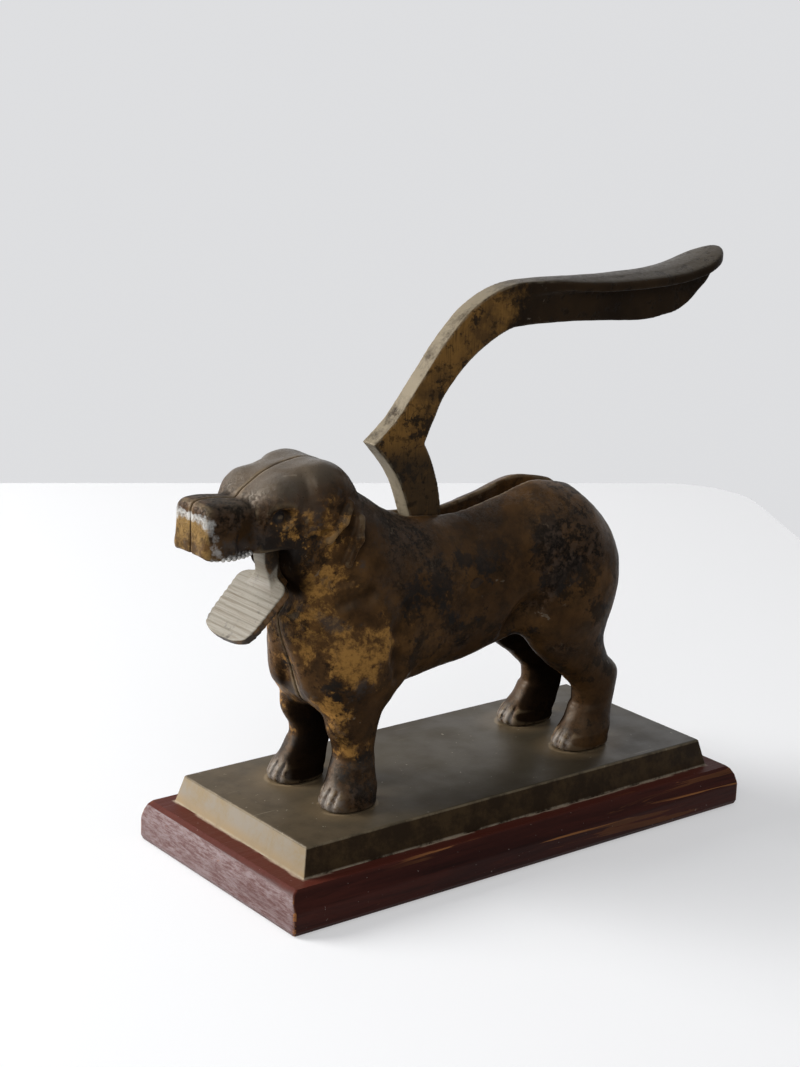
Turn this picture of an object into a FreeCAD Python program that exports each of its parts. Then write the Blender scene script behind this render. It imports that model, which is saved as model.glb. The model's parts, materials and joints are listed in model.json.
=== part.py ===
"""Dog nutcracker: two cast halves of a standing hound with a swinging tail lever between them.

The tail, the lower jaw and the hub are one casting, which turns on a pin in the cheeks.
The dog stands on a bevelled plinth that is screwed to a wooden base.
+X runs towards the tail, -Y is the dog's left side, and the origin is under the middle of the base.
"""
import FreeCAD, Part
import math
import os

V = FreeCAD.Vector
os.makedirs("parts", exist_ok=True)

# ---- wooden base ----
base_length = 216.0
base_width = 101.5
base_height = 15.9
base_top_chamfer = 4.2
base_bottom_round = 3.4
base_corner_cut = 1.8

# ---- cast plinth, set in from the board's edges ----
plinth_inset_x = 10.25
plinth_inset_y = 9.25
plinth_length = base_length - 2 * plinth_inset_x
plinth_width = base_width - 2 * plinth_inset_y
plinth_height = 10.6
plinth_bevel = 2.6
plinth_edge_chamfer = 0.6

# ---- hinge, measured from the plinth's top ----
pivot_x = -73.0
pivot_height = 94.8
pin_radius = 3.0
pin_length = 26.0
pin_running_gap = 0.05
pin_seat_gap = 0.02

# ---- tail lever ----
lever_thickness = 7.6
slot_side_gap = 0.4
hub_radius = 9.0
guard_inner_radius = 44.0
guard_foot_radius = 46.4
guard_outer_radius = 60.3
guard_top_angle = 49.2
notch_angle = 31.2
guard_low_angle = -10.0
arm_top_angle = 4.5
lever_swing = 43.0
sweep_gap = 0.9
tail_reach = 132.0
leaf_start = 46.0
leaf_half_width = 10.0
leaf_depth = 5.6
leaf_hollow = 1.2

# ---- lower jaw, measured along and across its plate from the hinge ----
jaw_angle = 45.0
jaw_plane_rise = 3.7
jaw_inner_reach = 17.2
jaw_outer_reach = 43.2
jaw_half_width = 14.4
jaw_thickness = 4.6
jaw_tooth_pitch = 2.5
jaw_tooth_depth = 0.6
jaw_guard_radius = 17.6
jaw_guard_top = 165.0
jaw_guard_low = 236.0

# ---- body, legs and paws ----
body_half_width = 25.0
foot_offset = 16.4
front_foot_x = -61.2
rear_foot_x = 51.8
front_paw_length = 21.8
rear_paw_length = 24.4
paw_half_width = 8.5
toe_groove_width = 0.9
lip_tooth_radius = 1.2
lip_tooth_count = 6
bite_gap = 0.45

# ---- fastenings ----
rivet_radius = 2.8
rivet_head_radius = 3.5
rivet_head_depth = 1.6
rivet_reach = 67.3
rivet_angle = -17.3
foot_screw_radius = 2.0
foot_screw_bite = 11.0
foot_screw_head_radius = 3.8
base_screw_radius = 2.4
base_screw_bite = 7.0
base_screw_head_radius = 4.6
base_screw_head_height = 3.0
base_counterbore_radius = 5.4
base_counterbore_depth = 5.0
base_screw_inset_x = 17.0
base_screw_inset_y = 13.0
screw_gap = 0.05

plinth_top = base_height + plinth_height
pivot_z = plinth_top + pivot_height
slot_half = lever_thickness / 2 + slot_side_gap
far = 400.0


def ring(points):
    """Closed smooth edge through the points, as a wire; even steps let rings share their knots in a loft."""
    curve = Part.BSplineCurve()
    steps = [float(i) for i in range(len(points) + 1)]
    curve.interpolate(Points=points, PeriodicFlag=True, Parameters=steps)
    return Part.Wire(curve.toShape())


def oval(centre, across, upward, half_across, rise, drop, squareness=2.3, count=12):
    """Rounded section: a superellipse with its own height above and below the centre."""
    points = []
    for i in range(count):
        turn = 2 * math.pi * i / count
        c, s = math.cos(turn), math.sin(turn)
        u = half_across * math.copysign(abs(c) ** (2 / squareness), c)
        reach = rise if s > 0 else drop
        v = reach * math.copysign(abs(s) ** (2 / squareness), s)
        points.append(centre + across * u + upward * v)
    return ring(points)


def loft(wires):
    return Part.makeLoft(wires, True, False)


def along_x(sections, y=0.0, squareness=2.3, count=12):
    """Loft along X through (x, low, high, half width) sections."""
    wires = []
    for x, low, high, half in sections:
        middle, reach = (low + high) / 2, (high - low) / 2
        wires.append(oval(V(x, y, middle), V(0, 1, 0), V(0, 0, 1), half, reach, reach, squareness, count))
    return loft(wires)


def along_z(sections, squareness=2.2, count=10):
    """Loft along Z through (z, x, y, half length, half width) sections."""
    wires = []
    for z, x, y, half_x, half_y in sections:
        wires.append(oval(V(x, y, z), V(1, 0, 0), V(0, 1, 0), half_x, half_y, half_y, squareness, count))
    return loft(wires)


def ellipsoid(centre, rx, ry, rz):
    ball = Part.makeSphere(1.0)
    stretch = FreeCAD.Matrix()
    stretch.scale(V(rx, ry, rz))
    shape = ball.transformGeometry(stretch)
    shape.translate(centre)
    return shape


def polar(radius, degrees):
    """Point in the hinge plane at a radius and angle from the hinge."""
    turn = math.radians(degrees)
    return V(pivot_x + radius * math.cos(turn), 0, pivot_z + radius * math.sin(turn))


def from_pivot(dx, dz):
    return V(pivot_x + dx, 0, pivot_z + dz)


def arc(a, middle, b):
    return Part.Arc(a, middle, b).toShape()


def line(a, b):
    return Part.LineSegment(a, b).toShape()


def smooth(points):
    curve = Part.BSplineCurve()
    curve.interpolate(points)
    return curve.toShape()


def slab(edges, half_depth):
    """Prism across the seam, as deep on both sides, from a closed outline in the hinge plane."""
    face = Part.Face(Part.Wire(edges))
    face.translate(V(0, -half_depth, 0))
    return face.extrude(V(0, 2 * half_depth, 0))


def cross_rod(x, z, radius, y_from, y_to):
    return Part.makeCylinder(radius, y_to - y_from, V(x, y_from, z), V(0, 1, 0))


# ---- base and plinth ----
def base_screw_places():
    half_x = plinth_length / 2 - base_screw_inset_x
    half_y = plinth_width / 2 - base_screw_inset_y
    return [(sx * half_x, sy * half_y) for sx in (-1, 1) for sy in (-1, 1)]


def foot_places():
    return [(x, sy * foot_offset) for x in (front_foot_x, rear_foot_x) for sy in (-1, 1)]


def bevelled_rectangle(length, width, z, corner):
    """Rectangle at a height, with its corners cut back."""
    half_x, half_y = length / 2, width / 2
    quarter = [(half_x, half_y - corner), (half_x - corner, half_y)]
    points = []
    for sx, sy, order in ((1, 1, 1), (-1, 1, -1), (-1, -1, 1), (1, -1, -1)):
        points += [V(sx * x, sy * y, z) for x, y in quarter[::order]]
    return Part.makePolygon(points + points[:1])


def wood_base():
    """Board with a bevelled top edge and an eased foot."""
    soft = base_bottom_round
    profile = [(0, soft * 0.55), (soft * 0.35, soft * 0.15), (soft, 0), (base_height - base_top_chamfer * 0.9, 0),
               (base_height - base_top_chamfer * 0.75, base_top_chamfer * 0.2), (base_height, base_top_chamfer)]
    wires = [bevelled_rectangle(base_length - 2 * inset, base_width - 2 * inset, z, base_corner_cut)
             for z, inset in profile]
    board = Part.makeLoft(wires, True, True)
    for x, y in base_screw_places():
        board = board.cut([Part.makeCylinder(base_counterbore_radius, base_counterbore_depth, V(x, y, 0)),
                           Part.makeCylinder(base_screw_radius + screw_gap, base_height, V(x, y, 0))])
    return board


def plinth():
    """Cast plate with sloping sides and softened edges."""
    half_x, half_y, slope = plinth_length / 2, plinth_width / 2, plinth_bevel
    block = Part.makeWedge(-half_x, 0, -half_y, slope - half_y, slope - half_x,
                           half_x, plinth_height, half_y, half_y - slope, half_x - slope)
    block.rotate(V(0, 0, 0), V(1, 0, 0), 90)
    block.translate(V(0, 0, base_height))
    soft = [e for e in block.Edges if e.BoundBox.ZMax > base_height + 1]
    block = block.makeChamfer(plinth_edge_chamfer, soft)
    head_depth = foot_screw_head_radius - foot_screw_radius
    holes = [Part.makeCylinder(base_screw_radius + screw_gap, base_screw_bite + 0.5, V(x, y, base_height))
             for x, y in base_screw_places()]
    for x, y in foot_places():
        spot = V(x, y, base_height)
        holes.append(Part.makeCylinder(foot_screw_radius + screw_gap, plinth_height, spot))
        holes.append(Part.makeCone(foot_screw_head_radius + screw_gap, foot_screw_radius + screw_gap,
                                   head_depth, spot))
    return block.cut(holes)


def base_screw(x, y):
    foot = base_counterbore_depth - base_screw_head_height
    head = Part.makeCylinder(base_screw_head_radius, base_screw_head_height, V(x, y, foot))
    slot = Part.makeBox(2 * base_screw_head_radius, 1.2, 1.2, V(x - base_screw_head_radius, y - 0.6, foot))
    shank = Part.makeCylinder(base_screw_radius, base_height - base_counterbore_depth + base_screw_bite,
                              V(x, y, base_counterbore_depth))
    return head.cut(slot).fuse(shank)


def foot_screw(x, y):
    head_depth = foot_screw_head_radius - foot_screw_radius
    head = Part.makeCone(foot_screw_head_radius, foot_screw_radius, head_depth, V(x, y, base_height))
    slot = Part.makeBox(2 * foot_screw_head_radius, 1.0, 0.9,
                        V(x - foot_screw_head_radius, y - 0.5, base_height))
    shank = Part.makeCylinder(foot_screw_radius, plinth_height + foot_screw_bite - head_depth,
                              V(x, y, base_height + head_depth))
    return head.cut(slot).fuse(shank)


# ---- tail lever ----
def guard_arcs():
    """Front and rear edges of the guard: arcs about the hinge, so the slot stays filled as it swings."""
    front_low = polar(guard_foot_radius, arm_top_angle)
    front_mid = polar(guard_inner_radius + 0.3, (arm_top_angle + guard_top_angle) / 2)
    corner = polar(guard_inner_radius, guard_top_angle)
    notch = polar(guard_outer_radius, notch_angle)
    rear_mid = polar(guard_outer_radius, (guard_low_angle + notch_angle) / 2)
    rear_low = polar(guard_outer_radius, guard_low_angle)
    return (front_low, front_mid, corner), (notch, rear_mid, rear_low)


def tail_top():
    """Top edge of the tail, from the guard's front corner to the tip."""
    steps = [(35.0, 38.6), (40.2, 43.8), (51.3, 57.9), (61.3, 70.3), (72.3, 79.7), (86.9, 85.9), (106.0, 87.2),
             (140.0, 86.9), (166.0, 87.8), (182.0, 90.4), (196.0, 94.6)]
    stretch = (tail_reach - pivot_x) / 204.0
    return [from_pivot(dx * stretch, dz) for dx, dz in steps]


def tail_under():
    """Underside of the tail, from the keel's rear corner back to the notch."""
    steps = [(177.4, 69.8), (168.0, 68.8), (155.0, 68.3), (125.0, 70.3), (97.0, 70.7), (85.6, 68.6),
             (71.1, 60.2), (60.2, 48.9), (55.3, 40.2)]
    stretch = (tail_reach - pivot_x) / 204.0
    return [from_pivot(dx * stretch, dz) for dx, dz in steps]


def tangent_on_hub(point, side, radius):
    """Point where a line from the given point touches a circle about the hinge; side is +1 above, -1 below."""
    dx, dz = point.x - pivot_x, point.z - pivot_z
    turn = math.atan2(dz, dx) + side * math.acos(radius / math.hypot(dx, dz))
    return polar(radius, math.degrees(turn))


def swung(point, degrees):
    """The point after the lever swings shut by the given angle."""
    turn = math.radians(degrees)
    dx, dz = point.x - pivot_x, point.z - pivot_z
    return from_pivot(dx * math.cos(turn) + dz * math.sin(turn), dz * math.cos(turn) - dx * math.sin(turn))


def lever_outline():
    (front_low, front_mid, corner), (notch, rear_mid, rear_low) = guard_arcs()
    top, under = tail_top(), tail_under()
    hub_top = tangent_on_hub(front_low, 1, hub_radius)
    hub_low = tangent_on_hub(rear_low, -1, hub_radius)
    tip_low = V(top[-1].x - 4.0, 0, top[-1].z - 9.0)
    tip_nose = V(top[-1].x + 3.5, 0, top[-1].z - 4.0)
    return [
        arc(front_low, front_mid, corner),
        smooth([corner] + top),
        arc(top[-1], tip_nose, tip_low),
        smooth([tip_low, (tip_low + under[0]) * 0.5 + V(1.5, 0, -1.0), under[0]]),
        smooth(under + [notch]),
        arc(notch, rear_mid, rear_low),
        line(rear_low, hub_low),
        arc(hub_low, polar(hub_radius, 180), hub_top),
        line(hub_top, front_low),
    ]


def tail_leaf():
    """Broad leaf on top of the tail: hollowed above, widening from the arm and closing at the tip."""
    top = tail_top()
    curve = Part.BSplineCurve()
    curve.interpolate([polar(guard_inner_radius, guard_top_angle)] + top)
    shares = ((0.0, 0.40), (0.3, 0.86), (0.6, 1.0), (0.86, 0.9), (1.0, 0.36))
    tip_x = top[-1].x + 1.0
    wires = []
    for share, width in shares:
        x = leaf_start + (tip_x - leaf_start) * share
        probe = Part.makeLine(V(x, 0, pivot_z - far), V(x, 0, pivot_z + far))
        if share < 1.0:
            z = curve.toShape().distToShape(probe)[1][0][0].z
        else:
            z = top[-1].z - 0.6
        half = leaf_half_width * width
        depth = leaf_depth * (0.55 + 0.45 * width)
        hollow = leaf_hollow * width
        section = [V(x, -half, z - depth * 0.45), V(x, -half * 0.82, z - 0.3), V(x, 0, z - hollow * 0.5),
                   V(x, half * 0.82, z - 0.3), V(x, half, z - depth * 0.45), V(x, half * 0.72, z - depth * 0.95),
                   V(x, 0, z - depth), V(x, -half * 0.72, z - depth * 0.95)]
        wires.append(ring(section))
    return loft(wires)


def jaw_point(along, y, above):
    """Point in the jaw plate's own frame: along the plate from the hinge, across, and above its middle line."""
    turn = math.radians(jaw_angle)
    dx = -along * math.cos(turn) - above * math.sin(turn)
    dz = -along * math.sin(turn) + above * math.cos(turn)
    return V(pivot_x + dx, y, pivot_z + dz)


def jaw_neck():
    """Web from the hub to the plate, with a round front edge that fills the back of the open mouth."""
    centre = V(pivot_x, 0, pivot_z)
    top, foot = polar(jaw_guard_radius, jaw_guard_top), polar(jaw_guard_radius, jaw_guard_low)
    middle = polar(jaw_guard_radius, (jaw_guard_top + jaw_guard_low) / 2)
    low = jaw_plane_rise - jaw_thickness
    gusset = jaw_point(jaw_inner_reach + 7.0, 0, low)
    root = jaw_point(jaw_inner_reach + 2.0, 0, jaw_plane_rise - 1.0)
    web = slab([line(centre, top), arc(top, middle, foot), line(foot, centre)], lever_thickness / 2)
    brace = slab([line(foot, gusset), line(gusset, root), line(root, centre), line(centre, foot)],
                 lever_thickness / 2)
    return web.fuse(brace)


def jaw_plate():
    """Spade-shaped lower jaw with cross teeth on its top."""
    half_neck = lever_thickness / 2
    corner = 4.5
    inner, outer, wide = jaw_inner_reach, jaw_outer_reach, jaw_half_width
    outline = []
    for side in (1, -1):
        run = [(inner - 4.0, half_neck), (inner - 1.6, half_neck + 2.4), (inner - 0.2, wide - 3.2),
               (inner + 2.4, wide), (outer - corner - 1.5, wide - 0.7), (outer - 1.2, wide - corner + 0.2)]
        outline.append([(a, side * y) for a, y in run])
    left, right = outline
    path = left + [(outer, 0.0)] + right[::-1]
    low = jaw_plane_rise - jaw_thickness
    points = [jaw_point(a, y, low) for a, y in path]
    edges = [smooth(points[0:4]), line(points[3], points[4]), smooth(points[4:9]), line(points[8], points[9]),
             smooth(points[9:13]), line(points[12], points[0])]
    up = jaw_point(0, 0, 1) - jaw_point(0, 0, 0)
    plate = Part.Face(Part.Wire(edges)).extrude(up * jaw_thickness)
    rise = jaw_plane_rise
    nose_cut = [jaw_point(outer - 1.2, 0, rise), jaw_point(outer + 1, 0, rise), jaw_point(outer + 1, 0, low)]
    nose = Part.Face(Part.makePolygon(nose_cut + nose_cut[:1]))
    nose.translate(V(0, -2 * wide, 0))
    return plate.cut(nose.extrude(V(0, 4 * wide, 0)))


def jaw_tooth_grooves():
    """V grooves across the plate, at one pitch from its inner edge to its nose."""
    grooves = []
    count = int((jaw_outer_reach - jaw_inner_reach - 2.0) / jaw_tooth_pitch)
    for i in range(count):
        a = jaw_inner_reach + 1.0 + (i + 0.5) * jaw_tooth_pitch
        top = jaw_plane_rise + 0.2
        tip = jaw_plane_rise - jaw_tooth_depth
        points = [jaw_point(a - 0.9, -jaw_half_width - 1, top), jaw_point(a + 0.5, -jaw_half_width - 1, top),
                  jaw_point(a + 0.2, -jaw_half_width - 1, tip)]
        face = Part.Face(Part.makePolygon(points + points[:1]))
        grooves.append(face.extrude(V(0, 2 * jaw_half_width + 2, 0)))
    return grooves


def tail_lever():
    arm = slab(lever_outline(), lever_thickness / 2)
    body = arm.fuse([jaw_neck(), jaw_plate(), tail_leaf()]).removeSplitter()
    bore = cross_rod(pivot_x, pivot_z, pin_radius + pin_running_gap, -lever_thickness, lever_thickness)
    return body.cut([bore] + jaw_tooth_grooves())


# ---- dog ----
def trunk():
    w = body_half_width
    sections = [(-81.2, 65, 71, 0.1 * w), (-75.5, 43, 85, 0.58 * w), (-62, 33.5, 97, 0.86 * w),
                (-36, 37, 102, 0.95 * w), (-8, 41, 99.5, 0.86 * w), (18, 46, 104, 0.86 * w), (46, 46, 104.5, w),
                (62, 48.5, 91, 0.84 * w), (71, 61, 77, 0.33 * w)]
    return along_x([(x, plinth_top + low, plinth_top + high, half) for x, low, high, half in sections])


def neck():
    """Thick neck that rises from between the shoulders to the back of the skull."""
    lean = V(0.86, 0, 0.5)
    wires = []
    for dx, dz, half_long, half_wide in ((24, -26, 26, 0.62), (12.5, -6, 24, 0.73), (2, 9, 20.0, 0.68)):
        wires.append(oval(from_pivot(dx, dz), V(0, 1, 0), lean, half_wide * body_half_width,
                          half_long, half_long, 2.5))
    return loft(wires)


def skull():
    sections = [(-27.4, 9, 20.2, 8), (-22, 3, 26, 13.8), (-12, -5, 31.4, 17.2), (0, -10, 33, 17.8),
                (11, -8, 28, 15.2), (18, 2, 18, 6.5)]
    return along_x([(pivot_x + x, pivot_z + low, pivot_z + high, half) for x, low, high, half in sections])


def muzzle():
    """Square muzzle with hanging lips."""
    sections = [(-17, -1, 18.6, 12.6), (-32, -0.3, 21.1, 13.3), (-41.5, 0.8, 20.6, 12.0), (-45.5, 4.4, 19.0, 8.2)]
    return along_x([(pivot_x + x, pivot_z + low, pivot_z + high, half) for x, low, high, half in sections],
                   squareness=3.4)


def shut_jaw_height(dx):
    """Height of the shut jaw's top above the hinge, at a distance along X from it."""
    tilt = math.radians(jaw_angle - lever_swing)
    return jaw_plane_rise / math.cos(tilt) + dx * math.tan(tilt)


def lip_teeth():
    """Row of small blunt teeth along the lower edge of the left lip."""
    teeth = []
    for i in range(lip_tooth_count):
        share = i / (lip_tooth_count - 1)
        dx = -40.5 + 14.0 * share
        y = -10.2 - 1.6 * math.sin(math.pi * share)
        base, tip = lip_tooth_radius, lip_tooth_radius * 0.5
        tooth = Part.makeWedge(-tip, 0, -tip, -base, -base, tip, 2.0, tip, base, base)
        tooth.rotate(V(0, 0, 0), V(1, 0, 0), 90)
        tooth.translate(from_pivot(dx, shut_jaw_height(dx) + bite_gap) + V(0, y, 0))
        teeth.append(tooth)
    return teeth


def ear():
    """Folded ear that lies back against the side of the skull."""
    sections = [(-8.5, 14, 23, 2.2), (-2, 8.5, 26, 5.0), (5.5, 6, 24.6, 5.0), (10, 9, 19.5, 2.4)]
    return along_x([(pivot_x + x, pivot_z + low, pivot_z + high, half) for x, low, high, half in sections], y=-15.6)


def brow():
    """Heavy brow over the eye."""
    return ellipsoid(from_pivot(-19.0, 20.5) + V(0, -9.4, 0), 6.0, 6.0, 5.0)


def cheek():
    """Fleshy corner of the jaw, under the eye and in front of the neck."""
    return ellipsoid(from_pivot(-5.0, -2.5) + V(0, -8.6, 0), 9.5, 7.6, 10.5)


def eye_socket():
    return Part.makeSphere(3.1, from_pivot(-19.8, 15.6) + V(0, -16.6, 0))


def eyeball():
    return Part.makeSphere(2.3, from_pivot(-19.3, 15.6) + V(0, -13.6, 0))


def leg_sections(rows, x0):
    return [(plinth_top + z, x0 + dx, -foot_offset + dy, half_x, half_y) for z, dx, dy, half_x, half_y in rows]


def front_leg():
    rows = [(72, 8.5, 5.2, 14.8, 8.6), (60, 6.3, 2.9, 17.8, 10.8), (48, 5.0, 2.6, 17.2, 10.8),
            (36, 4.4, 3.4, 12.4, 8.8), (26, 3.8, 3.2, 8.9, 7.5), (18, 4.0, 2.8, 7.7, 7.0), (6, 0.8, 0.8, 9.4, 7.8)]
    return along_z(leg_sections(rows, front_foot_x), count=8)


def rear_leg():
    rows = [(80, -10.0, 4.8, 16.5, 8.0), (66, -11.0, 1.6, 22.0, 10.4), (53, -11.0, 1.2, 21.0, 10.0),
            (42, -7.4, 1.2, 16.6, 8.7), (31, 2.0, 1.3, 13.4, 7.2), (21, 7.0, 1.4, 9.2, 6.8), (13, 5.6, 1.1, 9.2, 7.0),
            (6, 2.0, 0.3, 10.8, 7.8)]
    return along_z(leg_sections(rows, rear_foot_x), count=8)


def paw(x0, length):
    """Paw with four toes parted by grooves down its front."""
    half = length / 2
    rows = [(0, 0, 0, half, paw_half_width), (3.0, 0, 0, half * 1.02, paw_half_width * 1.02),
            (7.5, 0.8, 0.3, half * 0.9, paw_half_width * 0.92), (11.5, 2.4, 0.8, half * 0.62, paw_half_width * 0.76)]
    block = along_z(leg_sections(rows, x0), squareness=2.5)
    grooves = []
    for across in (-0.5, 0.0, 0.5):
        y = -foot_offset + across * paw_half_width
        front = x0 - half * (1.02 - 0.35 * across ** 2)
        slit = Part.makeBox(4.0, toe_groove_width, 10.0, V(-2.6, -toe_groove_width / 2, -1.0))
        slit.rotate(V(0, 0, 0), V(0, 1, 0), 16)
        slit.translate(V(front, y, plinth_top))
        grooves.append(slit)
    return block.cut(grooves)


def lever_slot():
    """Gap between the halves: all that the arm, guard and tail sweep, open along the back and rump."""
    g = sweep_gap
    inner, outer, hub = guard_inner_radius - g, guard_outer_radius + g, hub_radius + g
    low_angle = guard_low_angle - lever_swing - 1.0
    floor_angle = notch_angle - lever_swing - 1.5
    low = polar(outer, low_angle)
    ledge = polar(outer, floor_angle)
    hub_low, lip = tangent_on_hub(low, -1, hub), polar(inner, arm_top_angle + 1.5)
    hub_top = tangent_on_hub(lip, 1, hub)
    mouth = polar(inner, 70)
    floor = [swung(p, lever_swing) - V(0, 0, g) for p in tail_under()[2:]]
    tail_end = swung(tail_under()[0], lever_swing) - V(0, 0, g)
    edges = [
        line(low, hub_low),
        arc(hub_low, polar(hub, 180), hub_top),
        line(hub_top, lip),
        arc(lip, polar(inner, 40), mouth),
        line(mouth, mouth + V(0, 0, far)),
        line(mouth + V(0, 0, far), tail_end + V(0, 0, far)),
        line(tail_end + V(0, 0, far), tail_end),
        line(tail_end, floor[0]),
        smooth(floor + [ledge]),
        arc(ledge, polar(outer, (floor_angle + low_angle) / 2), low),
    ]
    return slab(edges, slot_half)


def jaw_slot():
    """Gap in the head and throat for the web between the hub and the lower jaw, as it swings."""
    reach = jaw_guard_radius + sweep_gap
    top, low = jaw_guard_top - lever_swing - 5.0, jaw_guard_low + 5.0
    centre = V(pivot_x, 0, pivot_z)
    first, last = polar(reach, top), polar(reach, low)
    return slab([line(centre, first), arc(first, polar(reach, (top + low) / 2), last), line(last, centre)],
                slot_half)


def bite_space():
    """Open mouth: the room that the lower jaw sweeps, under the palate and in front of the throat."""
    roof = bite_gap + 1.0
    throat = [(-12.2, -2.8), (-11.3, -7.3), (-8.3, -11.2), (-6.0, -16.2), (-6.3, -19.6), (-8.8, -23.4)]
    points = [from_pivot(dx, dz) for dx, dz in throat]
    back = from_pivot(-12.2, shut_jaw_height(-12.2) + roof)
    front = from_pivot(-far, shut_jaw_height(-far) + roof)
    out = points[-1] + V(-far, 0, -0.8 * far)
    edges = [line(back, points[0]), smooth(points), line(points[-1], out), line(out, front), line(front, back)]
    return slab(edges, 2 * body_half_width)


def rivet_place():
    spot = polar(rivet_reach, rivet_angle)
    return spot.x, spot.z


def flank_at(shape, x, z):
    """How far the left flank stands out from the seam at a point."""
    probe = Part.makeLine(V(x, -far, z), V(x, 0, z))
    return -shape.common(probe).BoundBox.YMin


def dog_halves():
    """Both cast halves, and how far out the rivet's heads lie."""
    forms = [neck(), skull(), muzzle(), brow(), cheek(), ear(), front_leg(), rear_leg(),
             paw(front_foot_x, front_paw_length), paw(rear_foot_x, rear_paw_length)]
    body = trunk().fuse(forms).cut(eye_socket()).fuse(eyeball())
    left_side = Part.makeBox(2 * far, far, 2 * far, V(-far, -far, plinth_top))
    body = body.common(left_side)
    x, z = rivet_place()
    flank = flank_at(body, x, z) - 0.1
    body = body.cut([lever_slot(), jaw_slot(), bite_space()]).fuse(lip_teeth())
    pin_room = pin_length / 2 + 0.1
    holes = [cross_rod(pivot_x, pivot_z, pin_radius + pin_seat_gap, -pin_room, 0),
             cross_rod(x, z, rivet_radius, -far, 0),
             cross_rod(x, z, rivet_head_radius, -far, rivet_head_depth - flank)]
    for foot_x in (front_foot_x, rear_foot_x):
        holes.append(Part.makeCylinder(foot_screw_radius + screw_gap, foot_screw_bite + 0.5,
                                       V(foot_x, -foot_offset, plinth_top)))
    left = body.cut(holes)
    return left, left.mirror(V(0, 0, 0), V(0, 1, 0)), flank


def pivot_pin():
    return cross_rod(pivot_x, pivot_z, pin_radius, -pin_length / 2, pin_length / 2)


def body_rivet(flank):
    x, z = rivet_place()
    rivet = cross_rod(x, z, rivet_radius, -flank, flank)
    heads = [cross_rod(x, z, rivet_head_radius, -flank, rivet_head_depth - flank),
             cross_rod(x, z, rivet_head_radius, flank - rivet_head_depth, flank)]
    return rivet.fuse(heads).removeSplitter()


def write(name, shape):
    solids = shape.Solids
    piece = solids[0] if len(solids) == 1 else Part.makeCompound(solids)
    piece.exportStep("parts/" + name + ".step")


left_half, right_half, flank_reach = dog_halves()
write("left_half", left_half)
write("right_half", right_half)
write("tail_lever", tail_lever())
write("pivot_pin", pivot_pin())
write("body_rivet", body_rivet(flank_reach))
write("plinth", plinth())
write("wood_base", wood_base())
for end, foot_x in (("front", front_foot_x), ("rear", rear_foot_x)):
    for side, sign in (("left", -1), ("right", 1)):
        write(end + "_" + side + "_foot_screw", foot_screw(foot_x, sign * foot_offset))
for number, (screw_x, screw_y) in enumerate(base_screw_places(), start=1):
    write("base_screw_" + str(number), base_screw(screw_x, screw_y))
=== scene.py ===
"""Dog nutcracker: the looks around its solid parts.

The two cast halves and the lever are sculpted as blocks of signed distances in millimetres, and then skinned
into meshes. One half of the dog is sculpted and the other mirrors it. S is the distance from the seam.
"""

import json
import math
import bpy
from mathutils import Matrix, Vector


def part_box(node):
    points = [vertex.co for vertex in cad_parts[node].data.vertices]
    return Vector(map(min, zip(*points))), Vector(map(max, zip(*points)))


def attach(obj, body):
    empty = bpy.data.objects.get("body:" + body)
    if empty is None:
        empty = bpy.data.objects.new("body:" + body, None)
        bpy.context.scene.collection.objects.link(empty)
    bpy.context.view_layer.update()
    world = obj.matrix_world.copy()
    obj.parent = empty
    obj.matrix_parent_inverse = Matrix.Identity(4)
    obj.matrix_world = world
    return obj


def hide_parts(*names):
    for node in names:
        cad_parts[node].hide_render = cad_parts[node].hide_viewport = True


bl_info = {
    "name": "Dog Nutcracker",
    "version": (1, 0, 0),
    "blender": (4, 5, 0),
    "location": "3D View > Sidebar > Nutcracker",
    "description": "Builds a standing cast dog nutcracker with a tail lever on a plinth and a wooden base",
    "category": "Add Mesh",
}

import bpy
import numpy as np
from mathutils import Matrix, Vector, noise

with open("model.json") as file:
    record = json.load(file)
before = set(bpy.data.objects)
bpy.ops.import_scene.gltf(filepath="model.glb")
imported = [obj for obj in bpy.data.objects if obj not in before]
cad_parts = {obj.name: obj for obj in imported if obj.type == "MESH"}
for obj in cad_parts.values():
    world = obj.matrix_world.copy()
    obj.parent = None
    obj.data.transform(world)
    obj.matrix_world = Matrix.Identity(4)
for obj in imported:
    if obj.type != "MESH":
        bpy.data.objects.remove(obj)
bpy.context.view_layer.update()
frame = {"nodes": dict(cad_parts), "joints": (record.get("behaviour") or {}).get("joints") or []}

MM = 0.001
EVERYWHERE = ((-1e3,) * 3, (1e3,) * 3)


def node_box(node):
    low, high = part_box(node)
    return np.array(low) / MM, np.array(high) / MM


HINGE = np.array(frame["joints"][0]["pos_m"]) / MM
SWING = frame["joints"][0]["range_deg"][1]
FLOOR = node_box("plinth")[1][2]
LEVER_HALF = 3.8
SLOT_HALF = 4.2
SWEEP_GAP = 0.9
TAIL_TIP = node_box("tail_lever")[1][0]


# ---- settings ----
def length(label, text, default):
    return bpy.props.FloatProperty(name=label, description=text, default=default, min=0.0, precision=5,
                                   subtype="DISTANCE", unit="LENGTH")


def colour(label, text, default):
    return bpy.props.FloatVectorProperty(name=label, description=text, default=default, size=3, min=0.0,
                                         max=1.0, subtype="COLOR")


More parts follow.
